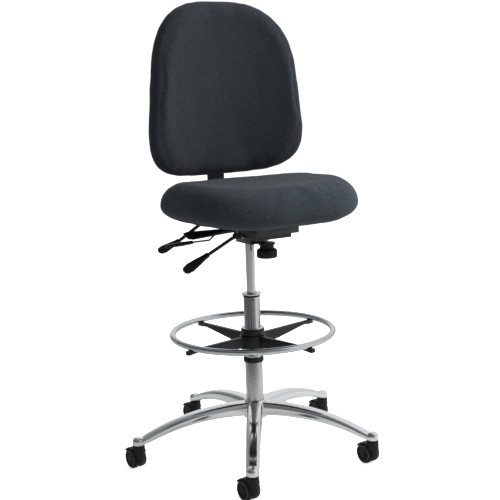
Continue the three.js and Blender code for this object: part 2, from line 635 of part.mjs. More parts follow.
function backBracket() {
  const b = bracket;
  const top = bar.bottom - gap;
  const front = housing.rear + b.behindEars;
  const plate = block(-b.halfWidth, b.halfWidth, front, front + b.length, top - b.plate, top);
  const k = recline;
  const knuckle = crossBar(-k.knuckleHalf, k.knuckleHalf, k.y, k.z, k.knuckleRadius, 24);
  const web = block(-k.knuckleHalf, k.knuckleHalf, k.y, front + 1, k.z - 4, top);
  const [fork, [y0, y1, z]] = leverFork(backLever.x - 9, -b.halfWidth + 1, backLever.y, backLever.z,
    backLever.z - 8, top);
  return cut(
    join(knuckle, web, plate, fork),
    crossBar(-k.knuckleHalf - 1, k.knuckleHalf + 1, k.y, k.z, k.shaftRadius + gap, 20),
    lengthBar(y0, y1, backLever.x, z, lever.pin + gap, 12),
  );
}
piece('back_bracket', backBracket(), ...blackPaint, upper);

// ---- levers ----------------------------------------------------------------------------------

const knuckleOf = (l) => {
  const half = lever.knuckleLength / 2;
  const pinHalf = half + gap + lever.cheek - 0.2;
  return join(
    lengthBar(l.y - half, l.y + half, l.x, l.z, lever.knuckle, 10),
    lengthBar(l.y - pinHalf, l.y + pinHalf, l.x, l.z, lever.pin, 8),
  );
};

// A point of a lever, a run out from its pin.
const leverPoint = (l, run, z) => vec(l.x - run, l.y, z);

// A grip slides over the end of its rod, so it is cut by the rod with a clearance.
const gripStations = [
  [0, 16, 15], [0.16, 17, 14], [0.4, 25, 12], [0.75, 33, 11], [0.93, 27, 10], [1, 13, 7],
];

function gripOver(from, to, start, twist) {
  const body = paddle(from, to, gripStations, twist);
  return cut(body, rod(start, from.clone().lerp(to, 0.32), lever.rod + lever.gripClearance, 8));
}

function heightLeverRod() {
  const l = heightLever;
  const kink = leverPoint(l, l.kinkRun, l.kinkZ);
  const end = leverPoint(l, l.gripRun, l.gripZ).lerp(leverPoint(l, l.endRun, l.endZ), 0.3);
  const armBottom = column.buttonProud + gap;
  const armTop = armBottom + lever.armThick;
  const armY = housing.trayBack + gap;
  const armRear = armY + lever.armWidth;
  const [outer, inner] = [-tiltFrame.halfWidth - swingGap, -22];
  const arm = join(
    block(outer - 7, outer, l.y + 2, l.y + lever.knuckleLength / 2, l.z, armTop),
    block(outer - 7, outer, l.y + 2, armRear, armBottom - 4, armTop),
    block(outer - 7, inner, armY, armRear, armBottom, armTop),
    block(inner - 10, inner, armY, 6, armBottom, armTop),
    block(inner - 10, 6, -5, 6, armBottom, armTop),
  );
  return join(knuckleOf(l), rod(vec(l.x, l.y, l.z), kink, lever.rod, 8), rod(kink, end, lever.rod, 8),
    solid(new THREE.SphereGeometry(lever.rod, 8, 5).translate(kink.x, kink.y, kink.z)), arm);
}
piece('height_lever', heightLeverRod(), ...steel, upper);
piece('height_lever_grip', gripOver(
  leverPoint(heightLever, heightLever.gripRun, heightLever.gripZ),
  leverPoint(heightLever, heightLever.endRun, heightLever.endZ),
  leverPoint(heightLever, heightLever.kinkRun, heightLever.kinkZ),
  radians(lever.gripTwist),
), ...blackPlastic, upper);

function backLeverRod() {
  const l = backLever;
  const rise = leverPoint(l, l.riseRun, l.riseZ);
  const grip = leverPoint(l, l.gripRun, l.gripZ);
  const end = grip.clone().lerp(leverPoint(l, l.endRun, l.endZ), 0.3);
  return join(knuckleOf(l), rod(vec(l.x, l.y, l.z), rise, lever.rod, 8), rod(rise, grip, lever.rod, 8),
    rod(grip, end, lever.rod, 8),
    solid(new THREE.SphereGeometry(lever.rod, 8, 5).translate(rise.x, rise.y, rise.z)));
}
piece('back_lever', backLeverRod(), ...steel, upper);

function backLeverGrip() {
  const l = backLever;
  const grip = leverPoint(l, l.gripRun, l.gripZ);
  const body = gripOver(grip, leverPoint(l, l.endRun, l.endZ), grip, radians(lever.backGripTwist));
  return cut(body, rod(leverPoint(l, l.riseRun, l.riseZ), grip, lever.rod + lever.gripClearance, 8));
}
piece('back_lever_grip', backLeverGrip(), ...blackPlastic, upper);

// The tilt lever's shaft is the seat tilt axis itself, and its broad paddle twists it.
const paddleHole = tilt.shaftRadius + gap;
const shaftEnd = tiltPaddle.root - 40;
piece('tilt_lever_shaft', crossBar(shaftEnd, tiltFrame.halfWidth + 3, tilt.y, tilt.z,
  tilt.shaftRadius, 20), ...steel, upper);

function tiltLeverPaddle() {
  const { root, length, rootWidth, endWidth, thickness, twist } = tiltPaddle;
  const blade = paddle(vec(root, tilt.y, tilt.z), vec(root - length, tilt.y, tilt.z - 2), [
    [0, rootWidth, rootWidth], [0.25, rootWidth + 4, rootWidth], [0.55, endWidth * 0.72, thickness + 1],
    [0.9, endWidth, thickness], [1, endWidth * 0.82, thickness * 0.5],
  ], radians(twist));
  return cut(blade, crossBar(shaftEnd - gap, root + 1, tilt.y, tilt.z, paddleHole, 20));
}
piece('tilt_lever_paddle', tiltLeverPaddle(), ...blackPlastic, upper);

// The depth release is a bent wire that hangs from the left side of the seat tilt frame.
function depthWire() {
  const d = depthLever;
  const points = [leverPoint(d, 2.3, d.z), leverPoint(d, d.kneeRun, d.kneeZ),
    leverPoint(d, d.bendRun, d.bendZ), leverPoint(d, d.gripRun + 30, d.bendZ)];
  const runs = points.slice(1).map((p, i) => rod(points[i], p, d.wire, 6));
  const elbows = points.slice(1, -1).map((p) => solid(
    new THREE.SphereGeometry(d.wire, 6, 4).translate(p.x, p.y, p.z)));
  return join(lengthBar(d.y - 8, d.y + 8, d.x - 2.3, d.z, 3.2, 12), ...runs, ...elbows);
}
piece('depth_lever_wire', depthWire(), ...steel, upper);

function depthLeverGrip() {
  const d = depthLever;
  const root = leverPoint(d, d.gripRun, d.bendZ);
  const body = paddle(root, leverPoint(d, d.endRun, d.bendZ - 3), [
    [0, 11, 11], [0.3, 12, 12], [0.34, 17, 13], [0.7, 24, 11], [0.93, 20, 10], [1, 10, 6],
  ]);
  return cut(body, crossBar(root.x - 30 - gap, root.x + 1, d.y, d.bendZ, d.wire + gap, 12));
}
piece('depth_lever_grip', depthLeverGrip(), ...blackPlastic, upper);

// ---- seat ------------------------------------------------------------------------------------

const seatHalf = seat.width / 2;
const seatMiddle = (seat.front + seat.back) / 2;
const seatReach = (seat.back - seat.front) / 2;

// Height of the cushion's widest line at a place on the seat.
function seatLevel(x, y) {
  const side = Math.max(Math.abs(x) - seat.flatHalfWidth, 0) / (seatHalf - seat.flatHalfWidth);
  const front = Math.max(seat.dropStart - y, 0) / (seat.dropStart - seat.front);
  return seat.widest + seat.sideRise * side ** 2 - seat.frontDrop * front ** 2;
}

const seatOutline = (angle, inset) => {
  const [x, y] = squircle(angle, seatHalf - inset, seatReach - inset, seat.squareness);
  return [x, y + seatMiddle];
};

// A pad from rings of points. A station is [inset from the outline, share of the ring, height].
function pad(stations, outline, level, place, segments = 30) {
  const rings = stations.map(([inset, share, height]) => Array.from({ length: segments }, (_, i) => {
    const [u, v] = outline((2 * Math.PI * i) / segments, inset);
    const [cu, cv] = outline.centre;
    const [x, y] = [cu + (u - cu) * share, cv + (v - cv) * share];
    return place(x, y, level(x, y) + height);
  }));
  return loft(rings);
}
seatOutline.centre = [0, seatMiddle];

function roundedEdge(reach, top, bottom, steps) {
  return Array.from({ length: 2 * steps + 1 }, (_, i) => {
    const a = (Math.PI * i) / (2 * steps);
    return [reach * (1 - Math.sin(a)), 1, (i < steps ? top : bottom) * Math.cos(a)];
  });
}

function seatCushion() {
  const { edgeReach: reach, edgeTop: top, edgeBottom: bottom, dish } = seat;
  return pad([
    [reach, 0.15, top - dish], [reach, 0.45, top - dish], [reach, 0.75, top - dish * 0.35],
    ...roundedEdge(reach, top, bottom, 3), [reach, 0.5, -bottom], [reach, 0.15, -bottom],
  ], seatOutline, seatLevel, vec);
}
piece('seat_cushion', seatCushion(), ...fabric, upper);

const boardTop = -seat.edgeBottom - 2 * gap;
const boardInset = seat.edgeReach + seat.boardInset;
piece('seat_board', pad([
  [boardInset, 0.2, boardTop], [boardInset, 0.6, boardTop], [boardInset, 1, boardTop],
  [boardInset, 1, boardTop - seat.board], [boardInset, 0.6, boardTop - seat.board],
  [boardInset, 0.2, boardTop - seat.board],
], seatOutline, seatLevel, vec), ...plywood, upper);

function seatSlide() {
  const s = slide;
  const under = s.top - s.plate;
  const lipBottomZ = tiltFrame.top + gap;
  const lips = [-1, 1].map((side) => {
    const [a, b] = [side * (s.halfWidth - s.lip), side * s.halfWidth];
    return block(Math.min(a, b), Math.max(a, b), s.front, s.back, lipBottomZ, s.top);
  });
  return join(block(-s.halfWidth, s.halfWidth, s.front, s.back, under, s.top), ...lips);
}
piece('seat_slide', seatSlide(), ...steel, upper);

// ---- back ------------------------------------------------------------------------------------

const backThick = back.thickness / 2;
const backOutline = (angle, inset) => {
  const squareness = Math.sin(angle) > 0 ? back.upperSquareness : back.lowerSquareness;
  const [halfX, halfZ] = [back.halfWidth - inset, back.halfHeight - inset];
  const [x, w] = squircle(angle, halfX, halfZ, squareness);
  return [x * (1 - (back.taper * w) / halfZ), w];
};
backOutline.centre = [0, 0];

// Depth of the pad's middle surface behind the column axis, at a height w above the pad's middle.
const backLevel = (x, w) => back.y + back.lean * w - back.wrap * (x / (back.halfWidth - backThick)) ** 2;
const backPlace = (x, w, depth) => vec(x, depth, back.middle + w);

function backCushion() {
  const t = backThick;
  const shell = pad([
    [t, 0.15, -t - back.lumbar], [t, 0.5, -t - back.lumbar * 0.7], [t, 0.8, -t - 2],
    ...roundedEdge(t, -t, -t, 3), [t, 0.9, t], [t, back.recessShare, t],
    ...[back.recessShare, 0.6, 0.4, 0.2].map((share) => [t, share, back.recessFloor]),
  ], backOutline, backLevel, backPlace);
  const slot = block(-bar.halfWidth - 4, bar.halfWidth + 4,
    bar.riserFront - 4, bar.riserFront + bar.thickness + 4,
    back.middle - back.halfHeight - 1, back.middle - (back.halfHeight - t) * back.recessShare + 12);
  return cut(shell, slot);
}
piece('back_cushion', backCushion(), ...fabric, upper);

const boardShare = back.recessShare - 0.03;
const boardFront = back.recessFloor + 3 * gap;
piece('back_board', pad([
  ...[0.2, 0.4, 0.6, boardShare].map((share) => [backThick, share, boardFront]),
  ...[boardShare, 0.6, 0.4, 0.2].map((share) => [backThick, share, boardFront + back.board]),
], backOutline, backLevel, backPlace), ...plywood, upper);

const coverBack = backThick + back.coverProud;
const coverShare = back.recessShare - 0.01;
piece('back_cover', pad([
  ...[0.2, 0.4, 0.6, coverShare - 0.02].map((share) => [backThick, share, coverBack]),
  [backThick, coverShare, coverBack - 2],
  ...[coverShare, 0.6, 0.4, 0.2].map((share) => [backThick, share, coverBack - back.cover]),
], backOutline, backLevel, backPlace), ...blackPlastic, upper);

// The upright is a flat bar, bent from under the seat to behind the back.
function upright() {
  const b = bar;
  const [t, r] = [b.thickness, b.bend];
  const centre = [b.riserFront - r, b.bottom + t + r];
  const arc = (radius) => Array.from({ length: 9 }, (_, i) => {
    const a = -Math.PI / 2 + (Math.PI / 2) * (i / 8);
    return [centre[0] + radius * Math.cos(a), centre[1] + radius * Math.sin(a)];
  });
  const outline = [
    [b.start, b.bottom + t], [b.start, b.bottom], ...arc(r + t), [b.riserFront + t, b.top],
    [b.riserFront, b.top], ...arc(r).reverse(),
  ];
  return sidePlate(outline, -b.halfWidth, b.halfWidth);
}
piece('back_upright', upright(), ...blackPaint, upper);

// The carrier hugs the upright and is bolted to the back board's rear face.
function backCarrier() {
  const c = carrier;
  const front = bar.riserFront - gap - c.wall;
  const rear = bar.riserFront + bar.thickness + gap + c.wall;
  const bottom = back.bottom + c.insideBack;
  const body = block(-c.halfWidth, c.halfWidth, front, rear, bottom, bottom + c.height);
  return cut(body, block(-bar.halfWidth - gap, bar.halfWidth + gap, front + c.wall, rear - c.wall,
    bottom - 1, bottom + c.height + 1));
}
piece('back_carrier', backCarrier(), ...steel, upper);

// ---- place the chair on its footprint --------------------------------------------------------

const box = new THREE.Box3().setFromObject(chair);
chair.position.set(-(box.min.x + box.max.x) / 2, -(box.min.y + box.max.y) / 2, -box.min.z);

export default chair;
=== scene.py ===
import math

import bmesh
import bpy
from mathutils import Matrix, Vector


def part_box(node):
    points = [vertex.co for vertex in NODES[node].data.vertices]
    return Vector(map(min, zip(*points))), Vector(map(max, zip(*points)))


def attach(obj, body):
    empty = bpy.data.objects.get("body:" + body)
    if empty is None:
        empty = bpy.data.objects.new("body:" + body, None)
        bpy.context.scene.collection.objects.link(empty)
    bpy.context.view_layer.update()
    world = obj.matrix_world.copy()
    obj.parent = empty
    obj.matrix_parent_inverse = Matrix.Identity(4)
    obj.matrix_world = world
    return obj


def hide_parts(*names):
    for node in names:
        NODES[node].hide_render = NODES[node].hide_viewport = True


bl_info = {
    "name": "Drafting Chair",
    "version": (1, 0, 0),
    "blender": (4, 5, 0),
    "location": "View3D > Sidebar > Chair",
    "description": "Builds a drafting chair piece by piece on its packed frame",
    "category": "Add Mesh",
}

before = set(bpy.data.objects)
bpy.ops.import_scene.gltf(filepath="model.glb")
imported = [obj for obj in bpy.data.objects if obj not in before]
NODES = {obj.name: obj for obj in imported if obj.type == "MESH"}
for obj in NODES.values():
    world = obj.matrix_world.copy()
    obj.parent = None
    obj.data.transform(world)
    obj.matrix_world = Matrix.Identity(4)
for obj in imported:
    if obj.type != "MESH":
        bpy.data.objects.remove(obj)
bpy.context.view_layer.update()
LEGS = ("front", "right", "rear_right", "rear_left", "left")


def middle_of(node):
    low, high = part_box(node)
    return (low + high) / 2


AXIS = Vector((middle_of("gas_cylinder").x, middle_of("gas_cylinder").y, 0))

ARM_DROP = 0.081  # fall of an arm's top from the hub to the caster
ARM_CURVE = 2.6  # how late the fall comes
ARM_DEPTH_HUB = 0.046
ARM_DEPTH_END = 0.023
ARM_FLOOR = 0.0755  # lowest level of an arm, at the caster sockets
SPOKES = 4
FIRST_SPOKE = 11  # direction of the first spoke, in degrees
SHAFT_END = 0.0008  # chamfer on a shaft's ends


# ---- materials -------------------------------------------------------------------------------


class Value:
    """A number or colour in a material, which arithmetic works on."""

    def __init__(self, finish, socket):
        self.finish = finish
        self.socket = socket

    def math(self, operation, *values):
        return self.finish.add("ShaderNodeMath", {"operation": operation}, dict(enumerate(values)))

    def __add__(self, other):
        return self.math("ADD", self, other)

    __radd__ = __add__

    def __sub__(self, other):
        return self.math("SUBTRACT", self, other)

    def __mul__(self, other):
        return self.math("MULTIPLY", self, other)

    __rmul__ = __mul__

    def __pow__(self, other):
        return self.math("POWER", self, other)

    def sine(self):
        return self.math("SINE", self)

    def size(self):
        return self.math("ABSOLUTE", self)

    def clamped(self):
        return self.math("MAXIMUM", self.math("MINIMUM", self, 1.0), 0.0)


class Finish:
    """A surface finish under construction, around one Principled shader."""

    def __init__(self, name, **constants):
        self.material = bpy.data.materials.new(name)
        self.material.use_nodes = True
        self.tree = self.material.node_tree
        self.tree.nodes.clear()
        self.shader = self.tree.nodes.new("ShaderNodeBsdfPrincipled")
        output = self.tree.nodes.new("ShaderNodeOutputMaterial")
        self.tree.links.new(self.shader.outputs[0], output.inputs["Surface"])
        for socket, value in constants.items():
            self.shader.inputs[socket.replace("_", " ")].default_value = value

    def add(self, kind, settings, sockets, output=0):
        """Adds a node: its settings first, then the values or links of its sockets."""
        node = self.tree.nodes.new(kind)
        for key, value in settings.items():
            if key == "stops":
                ramp = node.color_ramp
                while len(ramp.elements) < len(value):
                    ramp.elements.new(0.5)
                for element, (place, colour) in zip(ramp.elements, value):
                    element.position = place
                    element.color = colour
            else:
                setattr(node, key, value)
        for key, value in sockets.items():
            if isinstance(value, Value):
                self.tree.links.new(value.socket, node.inputs[key])
            else:
                node.inputs[key].default_value = value
        return Value(self, node.outputs[output])

    def place(self):
        """Object coordinates."""
        return self.add("ShaderNodeTexCoord", {}, {}, "Object")

    def facing(self):
        """The surface's direction, in object coordinates."""
        return self.add("ShaderNodeTexCoord", {}, {}, "Normal")

    def stretched(self, scale):
        return self.add("ShaderNodeMapping", {}, {"Vector": self.place(), "Scale": scale})

    def parts(self, vector):
        node = self.tree.nodes.new("ShaderNodeSeparateXYZ")
        self.tree.links.new(vector.socket, node.inputs[0])
        return [Value(self, node.outputs[i]) for i in range(3)]

    def noise(self, scale, detail=2.0, vector=None, rough=0.5):
        sockets = {"Scale": scale, "Detail": detail, "Roughness": rough, "Vector": vector or self.place()}
        return self.add("ShaderNodeTexNoise", {}, sockets)

    def cells(self, scale):
        return self.add("ShaderNodeTexVoronoi", {}, {"Scale": scale, "Vector": self.place()}, "Distance")

    def blend(self, amount, first, second):
        """From the first colour to the second."""
        return self.add("ShaderNodeMix", {"data_type": "RGBA"}, {0: amount, 6: first, 7: second}, 2)

    def drive(self, socket, value):
        self.tree.links.new(value.socket, self.shader.inputs[socket])

    def relief(self, height, strength, distance):
        sockets = {"Height": height, "Strength": strength, "Distance": distance}
        self.drive("Normal", self.add("ShaderNodeBump", {}, sockets))


def solid_colour(colour):
    return (*colour, 1.0)


def darker(colour, share):
    return solid_colour([c * share for c in colour])


def bright_metal(name, colour, gloss, streak, scale):
    """Plated or polished metal: faint clouding in its gloss and a very slight waviness."""
    finish = Finish(name, Metallic=1.0)
    cloud = finish.noise(9.0, 3.0)
    fine = finish.noise(160.0, 2.0, finish.stretched(scale))
    finish.drive("Roughness", (cloud - 0.5) * 0.06 + (fine - 0.5) * streak + gloss)
    finish.drive("Base Color", finish.blend((cloud * 1.6 - 0.4).clamped(), darker(colour, 0.93),
                                            solid_colour(colour)))
    finish.relief(fine, 0.05 + streak, 0.0001)
    return finish.material


def powder_coat(name, colour):
    """Black powder coat: orange peel, with the colour worn a little lighter in places."""
    finish = Finish(name, Coat_Weight=0.12)
    peel = finish.noise(900.0, 2.0)
    wear = finish.noise(22.0, 4.0)
    finish.drive("Base Color", finish.blend((wear * 2.0 - 0.7).clamped(), solid_colour(colour),
                                            darker(colour, 1.5)))
    finish.drive("Roughness", wear * 0.16 + peel * 0.1 + 0.27)
    finish.relief(peel, 0.35, 0.0003)
    return finish.material


def moulded_nylon(name, colour, gloss):
    """Moulded black nylon: a fine sandy grain under a soft shine."""
    finish = Finish(name, Specular_IOR_Level=0.32)
    grain = finish.cells(1400.0)
    cloud = finish.noise(35.0, 3.0)
    finish.drive("Base Color", finish.blend(cloud, darker(colour, 0.8), darker(colour, 1.3)))
    finish.drive("Roughness", cloud * 0.14 + grain * 0.1 + gloss)
    finish.relief(grain, 0.18, 0.0002)
    return finish.material


def woven_cloth(name, colour, pitch):
    """Fine upholstery weave: threads crossing at the pitch, seen from whichever side the cloth faces."""
    finish = Finish(name, Roughness=0.92, Sheen_Weight=0.14, Sheen_Roughness=0.45)
    finish.shader.inputs["Sheen Tint"].default_value = (0.66, 0.72, 0.78, 1.0)
    finish.shader.inputs["Specular IOR Level"].default_value = 0.25
    turn = 2.0 * math.pi / pitch
    x, y, z = finish.parts(finish.place())
    a, b, c = [part.size() ** 4.0 for part in finish.parts(finish.facing())]
    wave = [(part * turn).sine() for part in (x, y, z)]
    lean = [((first + second) * turn * 0.5).sine() for first, second in ((y, z), (x, z), (x, y))]
    crossing = wave[1] * wave[2] * a + wave[0] * wave[2] * b + wave[0] * wave[1] * c
    twill = lean[0] * a + lean[1] * b + lean[2] * c
    slub = finish.noise(1.0 / pitch * 0.9, 2.0)
    tone = finish.noise(7.0, 3.0)
    thread = (crossing * 0.42 + twill * 0.3 + slub * 0.9).clamped()
    fleck = (finish.noise(1.0 / pitch * 1.7, 1.0) * 3.2 - 1.7).clamped()
    worn = finish.blend(tone, darker(colour, 0.86), darker(colour, 1.12))
    woven = finish.blend(thread, darker(colour, 0.3), worn)
    finish.drive("Base Color", finish.blend(fleck * 0.7, woven,
                                            solid_colour([c * 2.4 + 0.014 for c in colour])))
    finish.relief(thread, 0.75, pitch * 0.4)
    return finish.material


def plywood(name, colour):
    """Moulded plywood: long grain with fine pores."""
    finish = Finish(name, Coat_Weight=0.1)
    grain = finish.noise(26.0, 5.0, finish.stretched((1.0, 9.0, 9.0)))
    pores = finish.noise(420.0, 2.0, finish.stretched((0.2, 1.0, 1.0)))
    finish.drive("Base Color", finish.blend((grain * 1.8 - 0.4).clamped(), darker(colour, 0.62),
                                            solid_colour(colour)))
    finish.drive("Roughness", pores * 0.25 + 0.45)
    finish.relief(pores, 0.2, 0.0003)
    return finish.material


FINISHES = {}


# ---- modelling helpers -----------------------------------------------------------------------


def clear_selection():
    if bpy.context.mode != "OBJECT":
        bpy.ops.object.mode_set(mode="OBJECT")
    bpy.ops.object.select_all(action="DESELECT")


def take(piece):
    """Makes one piece the only selected one."""
    clear_selection()
    piece.select_set(True)
    bpy.context.view_layer.objects.active = piece


def begin(kind, name, **options):
    """Adds a primitive at its size and place."""
    clear_selection()
    getattr(bpy.ops.mesh, f"primitive_{kind}_add")(**options)
    piece = bpy.context.object
    piece.name = name
    piece.data.name = name
    return piece


def pick_faces(piece, wanted):
    """In edit mode, selects the faces whose centre and normal pass the test."""
    bpy.ops.mesh.select_mode(type="FACE")
    bpy.ops.mesh.select_all(action="DESELECT")
    mesh = bmesh.from_edit_mesh(piece.data)
    for face in mesh.faces:
        face.select = wanted(piece.matrix_world @ face.calc_center_median(), face.normal)
    mesh.select_flush_mode()
    bmesh.update_edit_mesh(piece.data)


def pick_edges(piece, wanted):
    """In edit mode, selects the edges whose middle and direction pass the test."""
    bpy.ops.mesh.select_mode(type="EDGE")
    bpy.ops.mesh.select_all(action="DESELECT")
    mesh = bmesh.from_edit_mesh(piece.data)
    for edge in mesh.edges:
        first, second = [piece.matrix_world @ corner.co for corner in edge.verts]
        edge.select = wanted((first + second) / 2, (second - first).normalized())
    mesh.select_flush_mode()
    bmesh.update_edit_mesh(piece.data)


def close_mesh(piece):
    """Merges doubles and turns every face outwards."""
    take(piece)
    bpy.ops.object.mode_set(mode="EDIT")
    bpy.ops.mesh.select_all(action="SELECT")
    bpy.ops.mesh.remove_doubles(threshold=0.00001)
    bpy.ops.mesh.normals_make_consistent(inside=False)
    bpy.ops.object.mode_set(mode="OBJECT")


def shape(piece, kind, **settings):
    """Adds a modifier and applies it."""
    take(piece)
    modifier = piece.modifiers.new(kind.title(), kind)
    for key, value in settings.items():
        setattr(modifier, key, value)
    bpy.ops.object.modifier_apply(modifier=modifier.name)
    return piece


def eased(piece, width, segments=2, angle=30):
    """Rounds the sharp edges."""
    return shape(piece, "BEVEL", width=width, segments=segments, limit_method="ANGLE",
                 angle_limit=math.radians(angle))


def turned(name, profile, centre, along=(0, 0, 1), steps=96, edge=0.0, closed=False):
    """Spins a line of (radius, height) points about an axis."""
    along = Vector(along).normalized()
    out = Vector((1, 0, 0)) if abs(along.z) > 0.9 else Vector((0, 0, 1))
    points = [centre + out * radius + along * height for radius, height in profile]
    if closed:
        points.append(points[0].copy())
    piece = begin("plane", name, size=0.002, location=points[0])
    bpy.ops.object.mode_set(mode="EDIT")
    bpy.ops.mesh.select_mode(type="VERT")
    bpy.ops.mesh.select_all(action="SELECT")
    bpy.ops.mesh.merge(type="CENTER")
    for before, after in zip(points, points[1:]):
        bpy.ops.mesh.extrude_vertices_move(TRANSFORM_OT_translate={"value": after - before})
    bpy.ops.mesh.select_all(action="SELECT")
    bpy.ops.mesh.spin(steps=steps, angle=2 * math.pi, center=centre, axis=along)
    bpy.ops.object.mode_set(mode="OBJECT")
    bpy.ops.object.transform_apply(location=True, rotation=True, scale=True)
    close_mesh(piece)
    if edge:
        eased(piece, edge, 3)
    return piece


def copy_of(name, *nodes):
    """A merged copy of the frame's solids, to be worked on."""
    copies = []
    for node in nodes:
        piece = bpy.data.objects.new(name, NODES[node].data.copy())
        bpy.context.scene.collection.objects.link(piece)
        piece.data.materials.clear()
        copies.append(piece)
    fused = joined(copies)
    fused.data.name = name
    close_mesh(fused)
    return fused


def joined(pieces):
    take(pieces[0])
    for piece in pieces:
        piece.select_set(True)
    if len(pieces) > 1:
        bpy.ops.object.join()
    return bpy.context.view_layer.objects.active


def moved_copy(piece, name, shift):
    """A copy with its own mesh, moved."""
    twin = bpy.data.objects.new(name, piece.data.copy())
    bpy.context.scene.collection.objects.link(twin)
    twin.data.name = name
    twin.data.transform(Matrix.Translation(shift))
    return twin


def blended(piece, voxel, passes):
    """Runs joined shapes into one casting with soft corners."""
    shape(piece, "REMESH", mode="VOXEL", voxel_size=voxel, use_smooth_shade=True)
    return shape(piece, "SMOOTH", factor=0.5, iterations=passes)


def complete(piece, finish, body, *nodes, angle=35, slot=None):
    """Gives a piece its finish and body, with its place in its mesh."""
    take(piece)
    bpy.ops.object.transform_apply(location=True, rotation=True, scale=True)
    if angle >= 180:
        bpy.ops.object.shade_smooth()
    else:
        bpy.ops.object.shade_smooth_by_angle(angle=math.radians(angle))
    piece.data.materials.clear()
    piece.data.materials.append(FINISHES[finish])
    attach(piece, body)
    if nodes:
        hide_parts(*nodes)
    return piece


def dress(node, finish, bevel=0.0):
    """Gives a frame node its finish, and eases its edges."""
    piece = NODES[node]
    for slot in piece.material_slots:
        slot.material = FINISHES[finish]
    if bevel:
        piece.modifiers.new("Weld", "WELD").merge_threshold = 0.00001
        ease = piece.modifiers.new("Ease", "BEVEL")
        ease.width = bevel
        ease.segments = 2
        ease.limit_method = "ANGLE"
        ease.angle_limit = math.radians(40)
        ease.harden_normals = False


def ring(name, node, finish, body, outline, slot=None):
    """A hollow piece turned about the column, between the ends of its frame node."""
    low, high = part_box(node)
    piece = turned(name, outline(low.z, high.z), AXIS, closed=True)
    return complete(piece, finish, body, node, angle=40, slot=slot)


def screw(name, place, out, radius, finish, body):
    """A round-headed screw with a round recess, standing on a surface."""
    out = Vector(out).normalized()
    profile = [(0, radius * 0.25), (radius * 0.5, radius * 0.25), (radius * 0.52, radius * 0.62),
               (radius * 0.7, radius * 0.6), (radius * 0.95, radius * 0.35), (radius, 0.0), (0, 0.0)]
    return complete(turned(name, profile, Vector(place), out, 30), finish, body, angle=40, slot="inner_steel")


# ---- sizes and colours -----------------------------------------------------------------------


class ChairColours(bpy.types.PropertyGroup):
    """Colours of the chair's finishes"""

    seat_cloth: bpy.props.FloatVectorProperty(
        name="Seat cloth", description="Colour of the seat's fabric", subtype="COLOR", min=0, max=1,
        default=(0.051, 0.064, 0.075))
    back_cloth: bpy.props.FloatVectorProperty(
        name="Back cloth", description="Colour of the back's fabric", subtype="COLOR", min=0, max=1,
        default=(0.039, 0.047, 0.057))
    casting: bpy.props.FloatVectorProperty(
        name="Base casting", description="Colour of the polished base", subtype="COLOR", min=0, max=1,
        default=(0.95, 0.955, 0.96))
    plating: bpy.props.FloatVectorProperty(
        name="Plating", description="Colour of the chrome plate", subtype="COLOR", min=0, max=1,
        default=(0.72, 0.73, 0.74))
    black: bpy.props.FloatVectorProperty(
        name="Black parts", description="Colour of the black nylon and paint", subtype="COLOR", min=0, max=1,
        default=(0.009, 0.0094, 0.0102))


class ChairSizes(bpy.types.PropertyGroup):
    """Sizes of the chair's finish work"""

    weave_pitch: bpy.props.FloatProperty(
        name="Weave pitch", description="Distance between neighbouring threads of the cloth", default=0.0032,
        min=0.001, max=0.01, subtype="DISTANCE", unit="LENGTH")
    arm_width_hub: bpy.props.FloatProperty(
        name="Arm width at hub", description="Width of a base arm where it meets the hub", default=0.052,
        min=0.03, max=0.07, subtype="DISTANCE", unit="LENGTH")
    arm_width_end: bpy.props.FloatProperty(
        name="Arm width at caster", description="Width of a base arm at its outer end", default=0.038,
        min=0.03, max=0.05, subtype="DISTANCE", unit="LENGTH")
    cushion_start: bpy.props.FloatProperty(
        name="Cushion start", description="How far a cushion is drawn in before it is stuffed", default=0.004,
        min=0.0, max=0.02, subtype="DISTANCE", unit="LENGTH")
    cushion_swell: bpy.props.FloatProperty(
        name="Cushion swell", description="The most that stuffing may move a cushion's cover", default=0.006,
        min=0.0, max=0.03, subtype="DISTANCE", unit="LENGTH")
    knob_ribs: bpy.props.IntProperty(
        name="Knob ribs", description="Grip ribs round the tension knob", default=24, min=8, max=48)


# ---- operators -------------------------------------------------------------------------------


